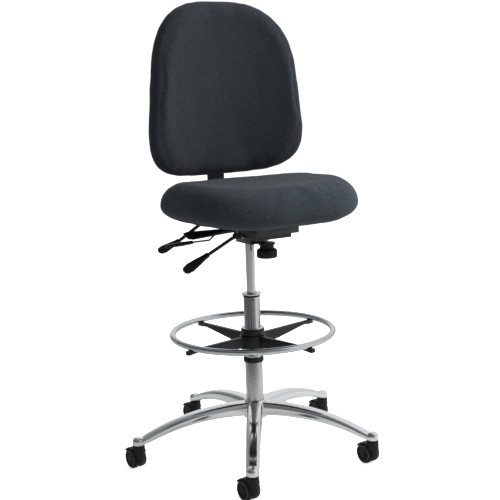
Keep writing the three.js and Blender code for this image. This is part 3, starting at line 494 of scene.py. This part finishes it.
class CHAIR_OT_stage(bpy.types.Operator):
    """Lays the floor, hangs the soft lights and places the camera"""

    bl_idname = "chair.stage"
    bl_label = "Stage"

    def execute(self, context):
        floor = begin("circle", "floor", vertices=96, radius=40, fill_type="NGON", location=(0, 0, -0.0004))
        paper = Finish("floor_paper", Roughness=0.85, Emission_Strength=0.75)
        seen = paper.add("ShaderNodeLightPath", {}, {}, "Is Camera Ray")
        paper.drive("Emission Color", paper.blend(seen, (0.1, 0.1, 0.1, 1), (1, 1, 1, 1)))
        tone = paper.noise(0.6, 2.0)
        white = paper.blend(tone, (0.9, 0.9, 0.9, 1), (0.93, 0.93, 0.93, 1))
        paper.drive("Base Color", paper.blend(seen, (0.48, 0.48, 0.48, 1), white))
        floor.data.materials.append(paper.material)

        camera = bpy.data.objects.new("camera", bpy.data.cameras.new("camera"))
        context.scene.collection.objects.link(camera)
        right = Vector((0.85166843, -0.52296305, -0.03421314))
        up = Vector((0.11468012, 0.12226566, 0.98584967))
        away = Vector((-0.51137986, -0.84354061, 0.16410327))
        turn = Matrix((right, up, away)).transposed().to_4x4()
        camera.matrix_world = Matrix.Translation((-1.476432, -2.517454, 1.118143)) @ turn
        camera.data.sensor_width = 36
        camera.data.lens = 69.665
        camera.data.shift_x = -0.00728
        camera.data.shift_y = 0.00056
        camera.data.clip_end = 200
        context.scene.camera = camera
        context.scene.view_settings.view_transform = "Standard"

        self.light(context, "key", (3.3, -1.6, 3.0), 2.0, 2.0, 215)
        self.light(context, "fill", (-1.2, -3.4, 3.6), 1.6, 1.6, 26)
        self.light(context, "rear", (3.0, 2.4, 2.4), 2.0, 1.6, 50)
        self.surroundings(context, away, right)
        return {"FINISHED"}

    def light(self, context, name, place, wide, high, power):
        lamp = bpy.data.lights.new(name, "AREA")
        lamp.shape = "RECTANGLE"
        lamp.size = wide
        lamp.size_y = high
        lamp.energy = power
        stand = bpy.data.objects.new(name, lamp)
        context.scene.collection.objects.link(stand)
        stand.location = place
        stand.visible_glossy = False
        stand.rotation_mode = "QUATERNION"
        stand.rotation_quaternion = (Vector(place) - Vector((0, 0, 0.75))).to_track_quat("Z", "Y")

    def surroundings(self, context, away, right):
        """A white room with grey drapes to the left, which give the plating its dark streaks."""
        world = bpy.data.worlds.new("white_room")
        context.scene.world = world
        world.use_nodes = True
        tree = world.node_tree
        tree.nodes.clear()
        output = tree.nodes.new("ShaderNodeOutputWorld")
        sky = tree.nodes.new("ShaderNodeBackground")
        place = tree.nodes.new("ShaderNodeTexCoord")
        dot = tree.nodes.new("ShaderNodeVectorMath")
        dot.operation = "DOT_PRODUCT"
        dot.inputs[1].default_value = Vector(
            (away.x * 0.6 - right.x * 0.8, away.y * 0.6 - right.y * 0.8, 0)).normalized()
        ramp = tree.nodes.new("ShaderNodeValToRGB")
        stops = [(0.0, 0.85), (0.12, 1.0), (0.34, 1.0), (0.42, 0.5), (0.52, 0.3), (0.6, 0.42), (0.68, 0.1),
                 (0.76, 0.36), (0.86, 0.08), (0.94, 0.22), (1.0, 0.12)]
        while len(ramp.color_ramp.elements) < len(stops):
            ramp.color_ramp.elements.new(0.5)
        for element, (where, tone) in zip(ramp.color_ramp.elements, stops):
            element.position = where
            element.color = (tone, tone, tone * 1.01, 1)
        half = tree.nodes.new("ShaderNodeMath")
        half.operation = "MULTIPLY_ADD"
        half.inputs[1].default_value = 0.5
        half.inputs[2].default_value = 0.5
        tree.links.new(place.outputs["Generated"], dot.inputs[0])
        tree.links.new(dot.outputs["Value"], half.inputs[0])
        tree.links.new(half.outputs[0], ramp.inputs[0])
        tree.links.new(ramp.outputs[0], sky.inputs["Color"])
        sky.inputs["Strength"].default_value = 0.72
        backdrop = tree.nodes.new("ShaderNodeBackground")
        backdrop.inputs["Color"].default_value = (1, 1, 1, 1)
        backdrop.inputs["Strength"].default_value = 1.05
        path = tree.nodes.new("ShaderNodeLightPath")
        seen = tree.nodes.new("ShaderNodeMixShader")
        tree.links.new(path.outputs["Is Camera Ray"], seen.inputs[0])
        tree.links.new(sky.outputs[0], seen.inputs[1])
        tree.links.new(backdrop.outputs[0], seen.inputs[2])
        tree.links.new(seen.outputs[0], output.inputs["Surface"])


class CHAIR_OT_finishes(bpy.types.Operator):
    """Makes the metal, nylon, cloth and wood finishes"""

    bl_idname = "chair.finishes"
    bl_label = "Finishes"

    def execute(self, context):
        colours = context.scene.chair_colours
        pitch = context.scene.chair_sizes.weave_pitch
        black = list(colours.black)
        FINISHES["base_aluminium"] = bright_metal("base_aluminium", list(colours.casting), 0.13, 0.05,
                                                  (1, 1, 1))
        FINISHES["chrome"] = bright_metal("chrome", list(colours.plating), 0.06, 0.02, (1, 1, 1))
        FINISHES["column_steel"] = bright_metal("column_steel", [0.68, 0.68, 0.68], 0.26, 0.12, (1, 1, 14))
        FINISHES["satin_chrome"] = bright_metal("satin_chrome", [0.68, 0.68, 0.69], 0.16, 0.08, (1, 1, 10))
        FINISHES["inner_steel"] = bright_metal("inner_steel", [0.52, 0.52, 0.53], 0.32, 0.1, (1, 1, 6))
        FINISHES["slide_steel"] = bright_metal("slide_steel", [0.66, 0.67, 0.68], 0.28, 0.12, (1, 8, 1))
        FINISHES["mechanism_black"] = powder_coat("mechanism_black", [c * 1.5 for c in black])
        FINISHES["caster_black"] = moulded_nylon("caster_black", [c * 0.6 for c in black], 0.26)
        FINISHES["wheel_black"] = moulded_nylon("wheel_black", [c * 0.7 for c in black], 0.34)
        # The wheels' black nylon made eleven times lighter: a painted highlight along the raised rims.
        FINISHES["wheel_rim_highlight"] = moulded_nylon("wheel_rim_highlight", [c * 11 for c in black], 0.3)
        FINISHES["collar_black"] = moulded_nylon("collar_black", black, 0.3)
        FINISHES["spider_black"] = moulded_nylon("spider_black", black, 0.24)
        FINISHES["grip_black"] = moulded_nylon("grip_black", [c * 1.4 for c in black], 0.3)
        FINISHES["cover_black"] = moulded_nylon("cover_black", [c * 1.2 for c in black], 0.42)
        FINISHES["seat_fabric"] = woven_cloth("seat_fabric", list(colours.seat_cloth), pitch)
        FINISHES["back_fabric"] = woven_cloth("back_fabric", list(colours.back_cloth), pitch)
        FINISHES["board_wood"] = plywood("board_wood", [0.3, 0.2, 0.115])
        # The seat board's plywood, darkened to near black.
        FINISHES["darkened_ply"] = plywood("darkened_ply", [c * 1.6 for c in black])
        return {"FINISHED"}


class CHAIR_OT_base(bpy.types.Operator):
    """Casts the five-armed base with its caster sockets"""

    bl_idname = "chair.base"
    bl_label = "Star base"

    def execute(self, context):
        sizes = context.scene.chair_sizes
        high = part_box("star_base")[1]
        reach = (middle_of("caster_front_stem") - AXIS).to_2d().length
        top = high.z - 0.004
        hub = turned("hub", [(0.0276, 0.119), (0.037, 0.119), (0.0385, 0.123), (0.038, 0.16),
                             (0.0345, 0.17), (0.031, 0.1745), (0.0276, 0.175)], AXIS, steps=64, closed=True)
        pieces = [hub]
        for leg in LEGS:
            stem = middle_of(f"caster_{leg}_stem")
            out = Vector((stem.x - AXIS.x, stem.y - AXIS.y, 0)).normalized()
            pieces.append(self.arm(out, reach, top, sizes.arm_width_hub, sizes.arm_width_end))
            profile = [(0, 0.075), (0.0188, 0.075), (0.0188, 0.084), (0.0178, 0.0905),
                       (0.0148, 0.0955), (0.0095, 0.0985), (0, 0.0995)]
            pieces.append(turned("socket", profile, AXIS + out * reach, steps=48))
        casting = blended(joined(pieces), 0.002, 6)
        casting.name = casting.data.name = "base_casting"
        complete(casting, "base_aluminium", "base", "star_base", angle=180)
        return {"FINISHED"}

    def arm(self, out, reach, top, width_hub, width_end):
        """One arm, drawn outwards from the hub with a crowned section."""
        across = Vector((-out.y, out.x, 0))
        stations = [0.034, 0.06, 0.1, 0.15, 0.2, 0.25, 0.3, 0.34, reach - 0.006, reach + 0.012]

        def section(r):
            share = r / reach
            level = top - ARM_DROP * share ** ARM_CURVE
            width = width_hub + (width_end - width_hub) * share
            tapered = ARM_DEPTH_HUB + (ARM_DEPTH_END - ARM_DEPTH_HUB) * share ** 0.8
            depth = min(tapered, level - ARM_FLOOR)
            return level, width, depth

        level, width, depth = section(stations[0])
        inner, outer = 0.0285, stations[0]
        place = AXIS + out * (inner + outer) / 2 + Vector((0, 0, level - depth / 2))
        piece = begin("cube", "arm", size=1, location=place, rotation=(0, 0, math.atan2(out.y, out.x)))
        piece.scale = (outer - inner, width, depth)
        bpy.ops.object.transform_apply(location=True, rotation=True, scale=True)
        bpy.ops.object.mode_set(mode="EDIT")
        pick_edges(piece, lambda middle, along: abs(along.dot(out)) > 0.9 and middle.z > place.z)
        bpy.ops.mesh.bevel(offset=depth * 0.4, segments=3)
        pick_edges(
            piece, lambda middle, along: abs(along.dot(out)) > 0.9 and middle.z < place.z - depth * 0.4)
        bpy.ops.mesh.bevel(offset=depth * 0.16, segments=2)
        pick_faces(piece, lambda centre, normal: normal.dot(out) > 0.9)
        for before, after in zip(stations, stations[1:]):
            level_b, width_b, depth_b = section(before)
            level_a, width_a, depth_a = section(after)
            if after == stations[-1]:
                width_a *= 0.6
            rise = (level_a - depth_a / 2) - (level_b - depth_b / 2)
            shift = out * (after - before) + Vector((0, 0, rise))
            bpy.ops.mesh.extrude_region_move(TRANSFORM_OT_translate={"value": shift})
            centre = AXIS + out * after + Vector((0, 0, level_a - depth_a / 2))
            turn = Matrix((out, across, Vector((0, 0, 1)))).transposed()
            bpy.ops.transform.resize(value=(1, width_a / width_b, depth_a / depth_b), orient_type="GLOBAL",
                                     orient_matrix=turn, orient_matrix_type="GLOBAL", center_override=centre)
        bpy.ops.object.mode_set(mode="OBJECT")
        return shape(piece, "SUBSURF", levels=2, render_levels=2)


class CHAIR_OT_casters(bpy.types.Operator):
    """Moulds the twin-wheel casters"""

    bl_idname = "chair.casters"
    bl_label = "Casters"

    def execute(self, context):
        first = middle_of("caster_front_stem")
        hood = self.hood()
        wheels = {side: self.wheel(side) for side in "ab"}
        rims = {side: self.rim(side) for side in "ab"}
        caps = {side: self.cap(side) for side in "ab"}
        for leg in LEGS:
            stem = middle_of(f"caster_{leg}_stem")
            shift = Vector((stem.x - first.x, stem.y - first.y, 0))
            shell = moved_copy(hood, f"{leg}_caster_hood", shift)
            complete(shell, "caster_black", f"caster_{leg}", f"caster_{leg}_hood", angle=180)
            dress(f"caster_{leg}_stem", "inner_steel")
            for side in "ab":
                body = f"wheel_{leg}_{side}"
                node = f"caster_{leg}_wheel_{side}"
                complete(moved_copy(wheels[side], f"{leg}_wheel_{side}", shift), "wheel_black", body, node)
                # The rim is the wheel's own black nylon; its lighter colour is a painted highlight.
                complete(moved_copy(rims[side], f"{leg}_wheel_rim_highlight_{side}", shift), "wheel_rim_highlight", body,
                         slot="wheel_black")
                complete(moved_copy(caps[side], f"{leg}_wheel_cap_{side}", shift), "caster_black", body)
        for spare in [hood, *wheels.values(), *rims.values(), *caps.values()]:
            bpy.data.objects.remove(spare)
        return {"FINISHED"}

    def hood(self):
        """The moulded hood, its fender ends trimmed back inside the outline of the wheels."""
        hood = copy_of("hood", "caster_front_hood")
        first, out = self.side_frame("a")
        middle = (first + self.side_frame("b")[0]) / 2
        trail = Vector((-out.y, out.x, 0))
        if trail.dot(middle - middle_of("caster_front_stem")) < 0:
            trail = -trail
        for end, side, wide in ((1, 0, 0.08), (-1, 1, 0.016), (-1, -1, 0.016)):
            place = middle + trail * end * 0.036 + out * side * 0.0245
            place.z = 0.032
            trim = begin("cube", "trim", size=1, location=place,
                         rotation=(0, 0, math.atan2(trail.y, trail.x)))
            trim.scale = (0.02, wide, 0.04)
            shape(hood, "BOOLEAN", object=trim, operation="DIFFERENCE", solver="EXACT")
            bpy.data.objects.remove(trim)
        return blended(hood, 0.0013, 7)

    def side_frame(self, side):
        """Centre of the wheel's inner face and the direction out of the caster."""
        outer = middle_of(f"caster_front_wheel_{side}")
        other = middle_of(f"caster_front_wheel_{'b' if side == 'a' else 'a'}")
        out = (outer - other).normalized()
        return outer - out * 0.009, out

    def wheel(self, side):
        centre, out = self.side_frame(side)
        profile = [(0.0045, 0.0), (0.0272, 0.0), (0.0291, 0.0012), (0.03, 0.0036), (0.03, 0.0126),
                   (0.0291, 0.0152), (0.0272, 0.0168), (0.0256, 0.0172), (0.0252, 0.0162), (0.0225, 0.0162),
                   (0.0218, 0.0152), (0.012, 0.0156), (0, 0.0158), (0, 0.0148), (0.0045, 0.0148)]
        return turned("wheel", profile, centre, out, 72)

    # The raised ring on a wheel's face, which carries the painted highlight.
    def rim(self, side):
        centre, out = self.side_frame(side)
        profile = [(0.0226, 0.0158), (0.0228, 0.0174), (0.0236, 0.0181), (0.0246, 0.0181), (0.0252, 0.0174),
                   (0.0252, 0.0158)]
        return turned("rim", profile, centre, out, 72, closed=True)

    def cap(self, side):
        centre, out = self.side_frame(side)
        profile = [(0, 0.0152), (0.0098, 0.0152), (0.0098, 0.0164), (0.009, 0.0172), (0.0035, 0.0176),
                   (0, 0.0176)]
        return turned("cap", profile, centre, out, 48)


class CHAIR_OT_column(bpy.types.Operator):
    """Turns the column tube, sleeve, collars and gas spring"""

    bl_idname = "chair.column"
    bl_label = "Column"

    def execute(self, context):
        ring("lower_tube", "column_tube", "column_steel", "base", lambda low, high: [
            (0.0254, low), (0.0268, low), (0.0268, high - 0.0015), (0.0262, high), (0.0254, high)])
        ring("tube_collar", "column_tube_collar", "collar_black", "base", lambda low, high: [
            (0.0254, low), (0.0305, low), (0.031, low + 0.001), (0.031, high - 0.004), (0.0295, high - 0.001),
            (0.0275, high), (0.0254, high)])
        ring("spring_sleeve", "gas_spring_sleeve", "chrome", "base", lambda low, high: [
            (0.0226, low), (0.025, low), (0.025, high - 0.001), (0.0245, high), (0.0226, high)])
        ring("top_ring", "sleeve_top_ring", "chrome", "base", lambda low, high: [
            (0.0148, low), (0.0285, low), (0.0298, low + 0.001), (0.03, low + 0.0025),
            (0.0298, high - 0.0012), (0.0288, high - 0.0003), (0.022, high), (0.0165, high - 0.0012),
            (0.0148, high - 0.0012)])
        ring("bushing", "guide_bushing", "collar_black", "base", lambda low, high: [
            (0.01435, low), (0.0221, low), (0.0221, high - 0.005), (0.0264, high - 0.0048), (0.0264, high),
            (0.01435, high)])
        ring("gas_spring_tube", "gas_cylinder", "satin_chrome", "lift", lambda low, high: [
            (0.0055, low), (0.0128, low), (0.014, low + 0.0012), (0.014, high - 0.0365), (0.0128, high),
            (0.0044, high)], slot="chrome")
        out = Vector((-0.35, -0.94, 0)).normalized()
        screw("sleeve_set_screw", AXIS + out * 0.0249 + Vector((0, 0, 0.4905)), out, 0.0024, "collar_black",
              "base")
        for node in ("thrust_bearing", "retaining_clip", "piston_rod", "valve_button"):
            dress(node, "inner_steel")
        return {"FINISHED"}


class CHAIR_OT_foot_ring(bpy.types.Operator):
    """Bends the foot ring and finishes its spider and collars"""

    bl_idname = "chair.foot_ring"
    bl_label = "Foot ring"

    def execute(self, context):
        low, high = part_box("foot_ring_tube")
        tube = (high.z - low.z) / 2
        radius = (high.x - low.x) / 2 - tube
        centre = middle_of("foot_ring_tube")
        hoop = begin("torus", "foot_hoop", location=centre, major_radius=radius, minor_radius=tube,
                     major_segments=192, minor_segments=28)
        bpy.ops.object.mode_set(mode="EDIT")
        joint = math.radians(FIRST_SPOKE + 360 / SPOKES)
        side = Vector((math.cos(joint), math.sin(joint), 0))
        pick_faces(hoop, lambda place, normal: (place - centre).normalized().dot(side) > 0.99995)
        bpy.ops.mesh.extrude_region_shrink_fatten(TRANSFORM_OT_shrink_fatten={"value": 0.0003})
        bpy.ops.object.mode_set(mode="OBJECT")
        complete(hoop, "chrome", "foot_ring", "foot_ring_tube", angle=50)
        spider = eased(copy_of("foot_spider", "foot_ring_spider"), 0.0016, 3, 35)
        complete(spider, "spider_black", "foot_ring", "foot_ring_spider", angle=35)
        ring("lock_collar", "foot_ring_lock_collar", "collar_black", "lock_collar", lambda low, high: [
            (0.0288, low), (0.0355, low), (0.036, low + 0.001), (0.036, high - 0.006), (0.0348, high - 0.003),
            (0.0322, high - 0.0018), (0.0256, high - 0.0018)])
        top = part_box("foot_ring_lock_collar")[1].z
        profile = [(0.0257, top - 0.0018), (0.0322, top - 0.0018), (0.0344, top - 0.0026),
                   (0.0336, top - 0.0008), (0.031, top), (0.0257, top)]
        band = turned("lock_collar_band", profile, AXIS, closed=True)
        complete(band, "chrome", "lock_collar", angle=40)
        ring("ring_collet", "foot_ring_collet", "collar_black", "foot_ring_collet", lambda low, high: [
            (0.0253, low), (0.0283, low), (0.0283, high), (0.0253, high)])
        for i in range(SPOKES):
            turn = math.radians(FIRST_SPOKE + 360 / SPOKES * i)
            out = Vector((math.cos(turn), math.sin(turn), 0))
            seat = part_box("foot_ring_spider")[1].z - 0.012
            screw(f"ring_screw_{i + 1}", AXIS + out * radius + Vector((0, 0, seat - 0.0002)), (0, 0, -1),
                  0.004, "inner_steel",
                  "foot_ring")
        return {"FINISHED"}


class CHAIR_OT_mechanism(bpy.types.Operator):
    """Finishes the housing, the tilt frame, the slide and the tension knob"""

    bl_idname = "chair.mechanism"
    bl_label = "Mechanism"

    def execute(self, context):
        for node, body, bevel in (("mechanism_housing", "lift", 0.0012),
                                  ("seat_tilt_frame", "seat_tilt", 0.0011),
                                  ("back_bracket", "recline", 0.0012)):
            piece = eased(copy_of(f"{node}_sheet", node), bevel, 2, 35)
            complete(piece, "mechanism_black", body, node, angle=35)
        plate = eased(copy_of("seat_slide_sheet", "seat_slide"), 0.0007, 2, 35)
        complete(plate, "slide_steel", "seat", "seat_slide", angle=35)
        for node in ("tension_spring", "tension_bolt", "tension_nut"):
            dress(node, "inner_steel")
        for node, body in (("recline_shaft", "lift"), ("tilt_lever_shaft", "tilt_lever")):
            low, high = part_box(node)
            centre = Vector((low.x, (low.y + high.y) / 2, (low.z + high.z) / 2))
            long = high.x - low.x
            profile = [(0, 0), (0.0042, 0), (0.005, SHAFT_END), (0.005, long - SHAFT_END), (0.0042, long),
                       (0, long)]
            pin = turned(f"{node}_bar", profile, centre, (1, 0, 0), 32)
            complete(pin, "inner_steel", body, node, angle=40)
        self.knob(context.scene.chair_sizes.knob_ribs)
        self.bolts()
        return {"FINISHED"}

    def knob(self, ribs):
        low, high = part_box("tension_knob")
        centre = middle_of("tension_knob")
        centre.z = 0
        base, top = low.z, high.z
        profile = [(0, base + 0.0035), (0.014, base + 0.003), (0.019, base + 0.0008), (0.0265, base),
                   (0.0294, base + 0.0016), (0.0305, base + 0.005), (0.0305, base + 0.0205),
                   (0.0292, base + 0.0238), (0.0264, base + 0.0262), (0.0218, base + 0.028),
                   (0.0205, base + 0.031), (0.0205, base + 0.0362), (0.0244, base + 0.0388),
                   (0.0248, top - 0.001), (0.024, top), (0, top)]
        knob = turned("tension_grip", profile, centre, steps=ribs * 4)
        take(knob)
        bpy.ops.object.mode_set(mode="EDIT")

        def valley(place, normal):
            if abs(normal.z) > 0.5 or not base + 0.004 < place.z < base + 0.022:
                return False
            turn = math.atan2(place.y - centre.y, place.x - centre.x) / (2 * math.pi) * ribs
            return turn % 1 < 0.5

        pick_faces(knob, valley)
        bpy.ops.mesh.extrude_region_shrink_fatten(TRANSFORM_OT_shrink_fatten={"value": -0.0013})
        bpy.ops.object.mode_set(mode="OBJECT")
        complete(knob, "grip_black", "tension_knob", "tension_knob", angle=30)

    def bolts(self):
        low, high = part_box("mechanism_housing")
        screw("housing_rivet", (low.x + 0.0136, low.y + 0.062, 0.695), (-1, 0, 0), 0.0042, "inner_steel",
              "lift")
        low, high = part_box("seat_tilt_frame")
        for i, share in enumerate((0.14, 0.86)):
            for side, x in (("left", high.x), ("right", low.x + 0.004)):
                out = 1 if side == "left" else -1
                place = (x, low.y + (high.y - low.y) * share, high.z - 0.0075)
                screw(f"frame_screw_{side}_{i + 1}", place, (out, 0, 0), 0.0032, "inner_steel", "seat_tilt")
        low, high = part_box("seat_slide")
        for i, (x, y) in enumerate(((0.055, 0.024), (0.055, 0.2), (-0.055, 0.024), (-0.055, 0.2))):
            screw(f"seat_bolt_{i + 1}", (AXIS.x + x * 0.62, low.y + y, low.z + 0.0027), (0, 0, -1), 0.005,
                  "inner_steel", "seat")
        low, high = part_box("back_bracket")
        for i, y in enumerate((0.05, 0.075)):
            screw(f"bracket_bolt_{i + 1}", (AXIS.x, high.y - 0.02 - i * 0.04, 0.7099), (0, 0, -1), 0.0055,
                  "inner_steel", "recline")


class CHAIR_OT_levers(bpy.types.Operator):
    """Bends the four levers and moulds their grips"""

    bl_idname = "chair.levers"
    bl_label = "Levers"

    def execute(self, context):
        for node, finish, body in (("height_lever", "mechanism_black", "height_lever"),
                                   ("back_lever", "mechanism_black", "back_lever")):
            complete(blended(copy_of(f"{node}_rod", node), 0.0011, 4), finish, body, node, angle=180)
        wire = blended(copy_of("depth_wire", "depth_lever_wire"), 0.0008, 3)
        complete(wire, "mechanism_black", "depth_lever", "depth_lever_wire", angle=180, slot="slide_steel")
        for node, body in (("height_lever_grip", "height_lever"), ("back_lever_grip", "back_lever"),
                           ("depth_lever_grip", "depth_lever"), ("tilt_lever_paddle", "tilt_lever")):
            grip = blended(copy_of(f"{node}_moulding", node), 0.0011, 6)
            complete(grip, "grip_black", body, node, angle=180)
        return {"FINISHED"}


def shortfall(pad, node):
    """How far, on average, a pad's sides lie inside the sides of its frame node."""
    low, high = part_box(node)
    corners = [vertex.co for vertex in pad.data.vertices]
    sizes = [max(c[i] for c in corners) - min(c[i] for c in corners) for i in range(3)]
    return sum((high[i] - low[i] - sizes[i]) / 2 for i in range(3)) / 3


def stuffed(name, node, finish, body, start, swell, voxel, rounding):
    """A foam pad in its cover, drawn in a little and then blown up by the cloth solver."""
    pad = copy_of(name, node)
    shape(pad, "REMESH", mode="VOXEL", voxel_size=voxel, use_smooth_shade=True)
    shape(pad, "SMOOTH", factor=0.5, iterations=rounding)
    shape(pad, "DISPLACE", strength=-start, mid_level=0.0)
    before = [vertex.co.copy() for vertex in pad.data.vertices]
    take(pad)
    cloth = pad.modifiers.new("Cloth", "CLOTH")
    cloth.settings.quality = 5
    cloth.settings.mass = 0.3
    cloth.settings.tension_stiffness = 22
    cloth.settings.compression_stiffness = 22
    cloth.settings.bending_stiffness = 2
    cloth.settings.use_pressure = True
    cloth.settings.uniform_pressure_force = 4
    cloth.settings.effector_weights.gravity = 0
    cloth.collision_settings.use_collision = False
    for step in range(1, 21):
        bpy.context.scene.frame_set(step)
    bpy.ops.object.modifier_apply(modifier=cloth.name)
    for vertex, old in zip(pad.data.vertices, before):
        move = vertex.co - old
        if move.length > swell:
            vertex.co = old + move.normalized() * swell
    bpy.context.scene.frame_set(1)
    shape(pad, "SMOOTH", factor=0.5, iterations=10)
    shape(pad, "DISPLACE", strength=shortfall(pad, node), mid_level=0.0)
    shape(pad, "SUBSURF", levels=1, render_levels=1)
    complete(pad, finish, body, node, angle=180)
    return pad


class CHAIR_OT_seat(bpy.types.Operator):
    """Upholsters the seat on its board"""

    bl_idname = "chair.seat"
    bl_label = "Seat"

    def execute(self, context):
        sizes = context.scene.chair_sizes
        stuffed("seat_pad", "seat_cushion", "seat_fabric", "seat", sizes.cushion_start, sizes.cushion_swell,
                0.006, 60)
        board = eased(copy_of("seat_ply", "seat_board"), 0.0025, 3, 50)
        # The seat board is drawn in the plywood darkened to near black.
        complete(board, "darkened_ply", "seat", "seat_board", angle=60, slot="board_wood")
        return {"FINISHED"}


class CHAIR_OT_back(bpy.types.Operator):
    """Upholsters the back and fits its cover, carrier and upright"""

    bl_idname = "chair.back"
    bl_label = "Back"

    def execute(self, context):
        sizes = context.scene.chair_sizes
        stuffed("back_pad", "back_cushion", "back_fabric", "back", sizes.cushion_start, sizes.cushion_swell,
                0.0055, 20)
        board = eased(copy_of("back_ply", "back_board"), 0.002, 2, 50)
        complete(board, "board_wood", "back", "back_board", angle=60)
        cover = copy_of("back_shell", "back_cover")
        shape(cover, "BEVEL", width=0.0015, segments=2, limit_method="ANGLE", angle_limit=math.radians(40))
        shape(cover, "SUBSURF", levels=1, render_levels=1)
        complete(cover, "cover_black", "back", "back_cover", angle=50)
        carrier = eased(copy_of("back_slide", "back_carrier"), 0.001, 2)
        complete(carrier, "slide_steel", "back", "back_carrier")
        self.upright()
        return {"FINISHED"}

    def upright(self):
        """A flat bar, drawn back under the seat, bent upwards and drawn up behind the back."""
        low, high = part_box("back_upright")
        thick, bend = 0.008, 0.034
        riser = high.y - thick
        turn = Vector((AXIS.x, riser - bend, low.z + thick + bend))
        bar = begin("cube", "upright_bar", size=1, location=(AXIS.x, low.y + 0.005, low.z + thick / 2))
        bar.scale = (high.x - low.x, 0.01, thick)
        bpy.ops.object.transform_apply(location=True, rotation=True, scale=True)
        bpy.ops.object.mode_set(mode="EDIT")
        pick_faces(bar, lambda place, normal: normal.y > 0.9)
        shift = Vector((0, turn.y - (low.y + 0.01), 0))
        bpy.ops.mesh.extrude_region_move(TRANSFORM_OT_translate={"value": shift})
        bpy.ops.mesh.spin(steps=16, angle=math.pi / 2, center=turn, axis=(-1, 0, 0))
        bpy.ops.mesh.extrude_region_move(TRANSFORM_OT_translate={"value": Vector((0, 0, high.z - turn.z))})
        bpy.ops.object.mode_set(mode="OBJECT")
        close_mesh(bar)
        eased(bar, 0.0022, 3, 50)
        complete(bar, "mechanism_black", "recline", "back_upright", angle=35)


OPERATORS = (CHAIR_OT_stage, CHAIR_OT_finishes, CHAIR_OT_base, CHAIR_OT_casters, CHAIR_OT_column,
             CHAIR_OT_foot_ring,
             CHAIR_OT_mechanism, CHAIR_OT_levers, CHAIR_OT_seat, CHAIR_OT_back)


class CHAIR_PT_panel(bpy.types.Panel):
    """Lists the chair's sizes, colours and pieces"""

    bl_idname = "CHAIR_PT_panel"
    bl_label = "Drafting Chair"
    bl_space_type = "VIEW_3D"
    bl_region_type = "UI"
    bl_category = "Chair"

    def draw(self, context):
        for group in (context.scene.chair_sizes, context.scene.chair_colours):
            for key in group.__annotations__:
                self.layout.prop(group, key)
        for operator in OPERATORS:
            self.layout.operator(operator.bl_idname)


CLASSES = (ChairColours, ChairSizes, *OPERATORS, CHAIR_PT_panel)


def register():
    for cls in CLASSES:
        bpy.utils.register_class(cls)
    bpy.types.Scene.chair_sizes = bpy.props.PointerProperty(type=ChairSizes)
    bpy.types.Scene.chair_colours = bpy.props.PointerProperty(type=ChairColours)


def unregister():
    del bpy.types.Scene.chair_sizes
    del bpy.types.Scene.chair_colours
    for cls in reversed(CLASSES):
        bpy.utils.unregister_class(cls)


def main():
    register()
    bpy.ops.chair.stage()
    bpy.ops.chair.finishes()
    bpy.ops.chair.base()
    bpy.ops.chair.casters()
    bpy.ops.chair.column()
    bpy.ops.chair.foot_ring()
    bpy.ops.chair.mechanism()
    bpy.ops.chair.levers()
    bpy.ops.chair.seat()
    bpy.ops.chair.back()


if __name__ == "__main__":
    main()
